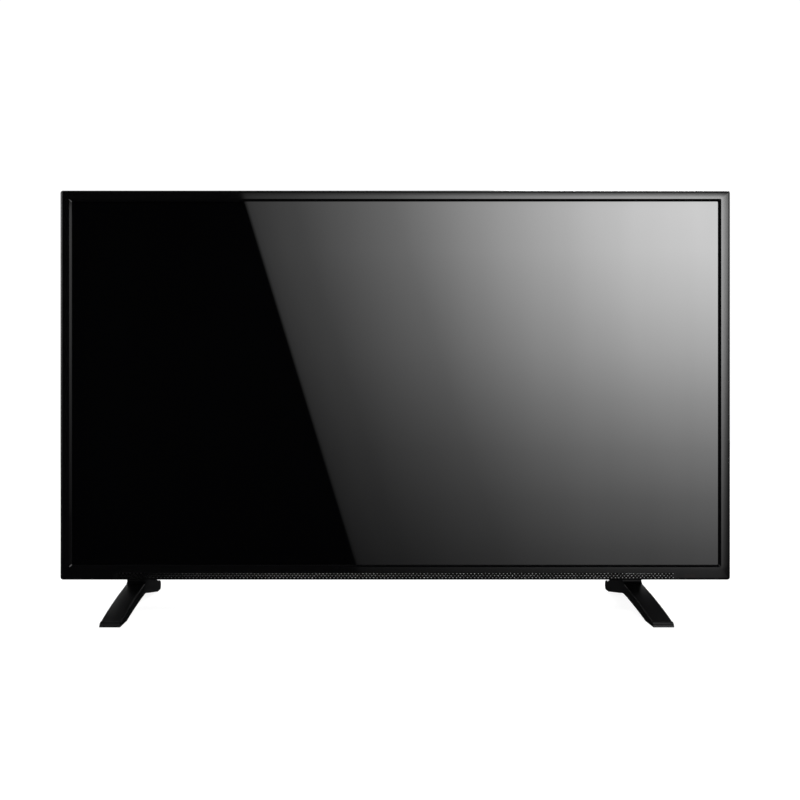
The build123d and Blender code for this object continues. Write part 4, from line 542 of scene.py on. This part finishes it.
backEdges = {"cover": 0.0005, "key": 0.00025, "rocker": 0.0003, "angle": 35}
softenedCopy("rear_cover", "set", backEdges["cover"], backEdges["angle"])
for name in nodes:
    if name.startswith("key_") and name != "key_board":
        softenedCopy(name, name, backEdges["key"], backEdges["angle"])
softenedCopy("mains_rocker", "mains_rocker", backEdges["rocker"], backEdges["angle"])
print("back edges")


# Knots on the crossings of the strip's web

knots = {
    "pitch": 0.00493, "rowPitch": 0.00274, "middle": 0.0505, "face": -0.03225,
    "width": 0.0017, "height": 0.0014, "proud": 0.0006, "outerCount": 155,
    "segments": 10, "rings": 6, "cut": 0.12, "smooth": 50,
}


def stripKnots():
    # three rows; the middle one has a knot less, half a pitch in
    rows = []
    for row in (-1, 0, 1):
        count = knots["outerCount"] - (row == 0)
        first = -(count - 1) / 2 * knots["pitch"]
        clearSelection()
        bpy.ops.mesh.primitive_uv_sphere_add(
            segments=knots["segments"], ring_count=knots["rings"], radius=1.0, rotation=(radians(90), 0, 0)
        )
        knot = named("stripKnots", "knotShineWithPaintedShade")
        bpy.ops.object.transform_apply(rotation=True)
        bpy.ops.object.mode_set(mode="EDIT")
        bpy.ops.mesh.select_all(action="SELECT")
        bpy.ops.mesh.bisect(
            plane_co=(0, knots["cut"], 0), plane_no=(0, 1, 0), use_fill=True, clear_outer=True
        )
        bpy.ops.mesh.select_all(action="SELECT")
        bpy.ops.transform.resize(
            value=(knots["width"] / 2, knots["proud"], knots["height"] / 2), center_override=(0, 0, 0)
        )
        bpy.ops.object.mode_set(mode="OBJECT")
        bpy.ops.object.shade_smooth_by_angle(angle=radians(knots["smooth"]))
        knot.location = (first, knots["face"], knots["middle"] + row * knots["rowPitch"])
        repeated(knot, count, (knots["pitch"], 0, 0))
        rows.append(applied(knot))
    whole = joined(rows, "stripKnots", angle=knots["smooth"])
    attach(whole, "set")


stripKnots()
print("strip knots")


# Contacts in the sockets

hdmi = {
    "heights": (0.168, 0.1875, 0.207), "mouth": 0.2988, "back": 0.2895, "y": 0.012, "tongue": 0.0011,
    "gap": 0.00004, "pitch": 0.001, "thick": 0.00014, "width": 0.00042, "roundShare": 0.3,
    "rows": ((-1, 10), (1, 9)),
}
usb = {
    "heights": (0.2265, 0.246), "mouth": 0.2975, "back": 0.2875, "y": 0.012, "gap": 0.00006,
    "thick": 0.0002, "width": 0.001, "roundShare": 0.3, "offsets": (-0.0035, -0.001, 0.001, 0.0035),
}
network = {
    "middle": (0.2943, 0.0128, 0.1485), "count": 8, "pitch": 0.00102, "radius": 0.00022,
    "length": 0.0088, "slant": -18, "nose": 0.0001, "segments": 10,
}


def contactBlade(socket, y, z):
    # a flat spring blade with its edges rounded off
    middle = (socket["back"] + socket["mouth"]) / 2
    clearSelection()
    bpy.ops.mesh.primitive_cube_add(size=1.0, location=(middle, y, z))
    blade = named("contact", "goldPlate")
    blade.scale = (socket["mouth"] - socket["back"], socket["thick"], socket["width"])
    bpy.ops.object.transform_apply(location=False, scale=True)
    rounded(blade, min(socket["thick"], socket["width"]) * socket["roundShare"])
    return blade


def contactWire(z):
    # a slanting round wire of the network socket
    x, y, _ = network["middle"]
    clearSelection()
    bpy.ops.mesh.primitive_cylinder_add(
        vertices=network["segments"], radius=network["radius"], depth=network["length"],
        location=(x, y, z), rotation=(0, radians(90), radians(network["slant"])),
    )
    wire = named("contact", "goldPlate")
    rounded(wire, network["nose"])
    return wire


def socketContacts():
    contacts = []
    for z in hdmi["heights"]:
        for side, count in hdmi["rows"]:
            y = hdmi["y"] + side * (hdmi["tongue"] / 2 + hdmi["gap"])
            blade = contactBlade(hdmi, y, z - (count - 1) / 2 * hdmi["pitch"])
            contacts.append(applied(repeated(blade, count, (0, 0, hdmi["pitch"]))))
    for z in usb["heights"]:
        for offset in usb["offsets"]:
            contacts.append(applied(contactBlade(usb, usb["y"] + usb["gap"], z + offset)))
    for index in range(network["count"]):
        step = index - (network["count"] - 1) / 2
        contacts.append(applied(contactWire(network["middle"][2] + step * network["pitch"])))
    whole = joined(contacts, "socketContacts", angle=35)
    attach(whole, "set")


socketContacts()
print("socket contacts")


# On and off marks on the mains rocker, raised from its face

marks = {
    "y": 0.0162, "onX": -0.30296, "onZ": 0.2033, "onLength": 0.0036, "line": 0.0006,
    "offX": -0.30395, "offZ": 0.1951, "offRadius": 0.0014, "offTilt": 14.25, "proud": 0.0002,
    "roundShare": 0.7,
}


def rockerMarks():
    clearSelection()
    bpy.ops.mesh.primitive_cube_add(size=1.0, location=(marks["onX"], marks["y"], marks["onZ"]))
    line = named("onMark", "keySatin")
    line.scale = (marks["proud"] * 2, marks["line"], marks["onLength"])
    bpy.ops.object.transform_apply(location=False, scale=True)
    rounded(line, marks["proud"] * marks["roundShare"], segments=3)
    clearSelection()
    bpy.ops.mesh.primitive_torus_add(
        major_radius=marks["offRadius"], minor_radius=marks["line"] / 2, major_segments=32, minor_segments=10,
        location=(marks["offX"], marks["y"], marks["offZ"]),
        rotation=(0, radians(90 + marks["offTilt"]), 0),
    )
    ring = named("offMark", "keySatin")
    ring.scale = (1, 1, marks["proud"] / (marks["line"] / 2))
    whole = joined([applied(line), applied(ring)], "rockerMarks", angle=40)
    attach(whole, "mains_rocker")


rockerMarks()
print("rocker marks")


# Studio: glowing floor, white room, and reflector cards that only shiny surfaces see

def glowing(name, strength):
    # a material that only gives off light, as strong as the given function of the place
    made = Finish(name)
    glow = made.tree.nodes.new("ShaderNodeEmission")
    made.tree.nodes.remove(made.shader)
    output = made.tree.nodes["Material Output"]
    made.tree.links.new(glow.outputs[0], output.inputs["Surface"])
    made.tree.links.new(strength(made).socket, glow.inputs["Strength"])
    return made.material


# the screen and frame mirror this card: dark left of a slanted edge, then brighter to the right
frontFall = {
    "peak": 8.0, "edgeTop": (-0.5304, 1.086), "edgeLow": (-0.0782, -0.3875), "spread": 1.817,
    "across": (
        (0.0, 0.0), (0.008, 0.07), (0.021, 0.083), (0.064, 0.106), (0.11, 0.122), (0.33, 0.285),
        (0.55, 0.58), (0.78, 0.84), (1.0, 1.0),
    ),
    "liftShare": 0.9,
    "riseLeft": (
        (0.0, 0.17), (0.04, 0.195), (0.163, 0.266), (0.286, 0.345), (0.41, 0.455), (0.533, 0.56),
        (0.656, 0.63), (0.78, 0.7), (0.913, 0.68), (0.9267, 0.27), (0.941, 0.0),
    ),
    "riseRight": (
        (0.0, 0.1), (0.04, 0.117), (0.163, 0.192), (0.286, 0.305), (0.41, 0.459), (0.533, 0.642),
        (0.656, 0.795), (0.78, 0.92), (0.878, 0.955), (0.913, 0.93), (0.9267, 0.36), (0.941, 0.0),
    ),
    "rightFrom": -0.1, "rightSpan": 1.2,
    "bendFrom": 1.45, "bend": 0.5,
    "fadeFrom": 1.3, "fadeSpan": 0.5,
    "fade": ((0.0, 1.0), (0.2, 1.0), (0.243, 0.5), (0.3, 0.12), (0.9, 0.1)),
    "footFrom": -0.45, "footSpan": 0.1,
    "foot": ((0.1, 0.42), (0.48, 0.45), (0.56, 0.65), (0.65, 1.0)),
    "streakScale": 3.0, "streak": 0.16,
}


def frontGlow(made):
    fall = frontFall
    x = made.axis("X")
    z = made.axis("Z") - (x - fall["bendFrom"]).clamped() * fall["bend"]
    topX, topZ = fall["edgeTop"]
    lowX, lowZ = fall["edgeLow"]
    slope = (lowX - topX) / (topZ - lowZ)
    edge = (topZ - z) * slope + topX
    across = made.shades((x - edge) * (1 / fall["spread"]), fall["across"])
    lift = z.along(lowZ, topZ - lowZ) * fall["liftShare"]
    riseLeft = made.shades(lift, fall["riseLeft"])
    riseRight = made.shades(lift, fall["riseRight"])
    rightness = x.along(fall["rightFrom"], fall["rightSpan"]).clamped()
    rise = riseLeft + rightness * (riseRight - riseLeft)
    fade = made.shades(x.along(fall["fadeFrom"], fall["fadeSpan"]), fall["fade"])
    foot = made.shades(z.along(fall["footFrom"], fall["footSpan"]), fall["foot"])
    streak = made.noise(fall["streakScale"], detail=4.0, rough=0.6, place=made.stretched(1.0, 1.0, 0.04))
    unevenness = made.between(streak, 1 - fall["streak"] / 2, 1 + fall["streak"] / 2)
    return across * rise * fade * foot * unevenness * fall["peak"]


# brighter high up and near the front, so the frame's left edge shines less towards its foot
leftFall = {
    "peak": 2.9, "lowest": -0.2, "climb": 1.4, "far": -1.6, "reach": 0.6,
    "high": ((0.0, 0.07), (0.154, 0.146), (0.348, 0.375), (0.541, 0.77), (0.7, 1.0)),
    "near": ((0.0, 0.3), (0.5, 0.45), (1.0, 1.0)),
}


def leftGlow(made):
    high = made.shades(made.axis("Z").along(leftFall["lowest"], leftFall["climb"]), leftFall["high"])
    near = made.shades(made.axis("X").along(leftFall["far"], leftFall["reach"]), leftFall["near"])
    return high * near * leftFall["peak"]


# a window on the right, which the screen mirrors to a camera on the left; brightest high up in front
sideFall = {
    "peak": 1.6, "lowest": -0.8, "climb": 3.0, "front": -2.2, "reach": 1.7,
    "high": ((0.0, 0.0), (0.3, 0.05), (0.75, 0.8), (1.0, 1.0)),
    "turn": ((0.0, 1.0), (0.55, 0.45), (1.0, 0.12)),
}


def sideGlow(made):
    high = made.shades(made.axis("Z").along(sideFall["lowest"], sideFall["climb"]), sideFall["high"])
    turn = made.shades(made.axis("Y").along(sideFall["front"], sideFall["reach"]), sideFall["turn"])
    return high * turn * sideFall["peak"]


# over the front it comes from the right; over the back it is even
topFall = {
    "peak": 1.7, "left": -0.6, "reach": 2.2, "backFrom": 0.2, "backSpan": 0.5, "backShare": 0.75,
    "across": ((0.0, 0.0), (0.12, 0.12), (0.33, 0.4), (0.53, 0.8), (1.0, 1.0)),
}


def topGlow(made):
    across = made.shades(made.axis("X").along(topFall["left"], topFall["reach"]), topFall["across"])
    back = made.axis("Y").along(topFall["backFrom"], topFall["backSpan"]).clamped()
    return (across + (topFall["backShare"] - across) * back) * topFall["peak"]


evenFall = {"low": 1.105, "high": 1.495, "scale": 1.5}


def evenGlow(made):
    return made.between(made.noise(evenFall["scale"], detail=2.0), evenFall["low"], evenFall["high"])


# upright cards run from one place on the floor plan to another; the top card lies flat
cards = {
    "frontCard": {"start": (-0.75, -2.2), "end": (1.75, -2.2), "heights": (-0.75, 1.45), "glow": frontGlow},
    "leftCard": {"start": (-1.0, -1.05), "end": (-2.8, 1.5), "heights": (-0.2, 1.15), "glow": leftGlow},
    "sideCard": {"start": (1.9, -2.2), "end": (3.2, -0.5), "heights": (-0.8, 2.2), "glow": sideGlow},
    "rightCard": {"start": (3.2, -0.4), "end": (3.0, 1.5), "heights": (0.1, 2.2), "glow": evenGlow},
    "backCardLeft": {"start": (-2.2, 3.0), "end": (-0.7, 3.0), "heights": (0.2, 2.2), "glow": evenGlow},
    "backCardRight": {"start": (0.5, 3.0), "end": (2.2, 3.0), "heights": (0.2, 2.2), "glow": evenGlow},
}
topCard = {"x": (-1.6, 1.6), "y": (-1.4, 1.6), "height": 2.8}

lamps = {
    "keyLight": {"place": (0.9, -0.75, 2.5), "size": 1.2, "power": 34.0, "mirrored": False},
    "fillLight": {"place": (-1.8, -0.8, 2.2), "size": 1.6, "power": 10.0, "mirrored": False},
    "backLight": {"place": (1.4, 2.2, 2.4), "size": 1.4, "power": 120.0, "mirrored": True},
    "rimLight": {"place": (-2.2, 1.2, 1.0), "size": 0.8, "power": 26.0, "mirrored": False},
}
aimPoint = Vector((0, 0, 0.3))

room = {"floorSize": 60.0, "floorTone": 0.16, "floorGlow": 0.9, "light": 1.06}


def buildCard(name, corners, glow):
    clearSelection()
    bpy.ops.mesh.primitive_plane_add(size=1.0)
    piece = bpy.context.object
    piece.name = name
    for vertex, corner in zip(piece.data.vertices, corners):
        vertex.co = corner
    piece.data.materials.append(glowing(name + "Glow", glow))
    piece.visible_camera = False
    piece.visible_diffuse = False
    piece.visible_shadow = False
    piece.visible_transmission = False


def buildFloor():
    clearSelection()
    bpy.ops.mesh.primitive_plane_add(size=room["floorSize"])
    floor = bpy.context.object
    floor.name = "studioFloor"
    paper = Finish(
        "floorPaper", Roughness=0.9, Specular_IOR_Level=0.1,
        Emission_Color=(1, 1, 1, 1), Emission_Strength=room["floorGlow"],
    )
    tone = (room["floorTone"],) * 3
    paper.feed(Base_Color=paper.colour(paper.noise(scale=300.0), tone, scaled(tone, 0.99)))
    floor.data.materials.append(paper.material)
    floor.visible_glossy = False


def buildRoom():
    world = bpy.data.worlds.new("whiteRoom")
    scene.world = world
    world.use_nodes = True
    background = world.node_tree.nodes["Background"]
    background.inputs["Color"].default_value = (1, 1, 1, 1)
    background.inputs["Strength"].default_value = room["light"]
    world.cycles_visibility.glossy = False


def buildLamp(name, place, size, power, mirrored):
    light = bpy.data.lights.new(name, "AREA")
    light.size = size
    light.energy = power
    lamp = bpy.data.objects.new(name, light)
    scene.collection.objects.link(lamp)
    lamp.location = place
    lamp.visible_glossy = mirrored
    lamp.rotation_euler = (aimPoint - Vector(place)).to_track_quat("-Z", "Y").to_euler()


buildFloor()
buildRoom()
for name, card in cards.items():
    corners = [(*place, height) for height in card["heights"] for place in (card["start"], card["end"])]
    buildCard(name, corners, card["glow"])
buildCard("topCard", [(x, y, topCard["height"]) for y in topCard["y"] for x in topCard["x"]], topGlow)
for name, lamp in lamps.items():
    buildLamp(name, **lamp)
print("studio")


# Camera at the photograph's viewing angle: level, a little left of the middle

view = {"place": (-0.0424, -1.1424, 0.2948), "lens": 36.556, "shiftX": 0.0447, "shiftY": -0.00375}
camera = bpy.data.cameras.new("camera")
camera.lens = view["lens"]
camera.shift_x = view["shiftX"]
camera.shift_y = view["shiftY"]
camera.clip_start = 0.01
eye = bpy.data.objects.new("camera", camera)
scene.collection.objects.link(eye)
eye.location = view["place"]
eye.rotation_euler = (radians(90), 0, 0)
scene.camera = eye
print("camera")
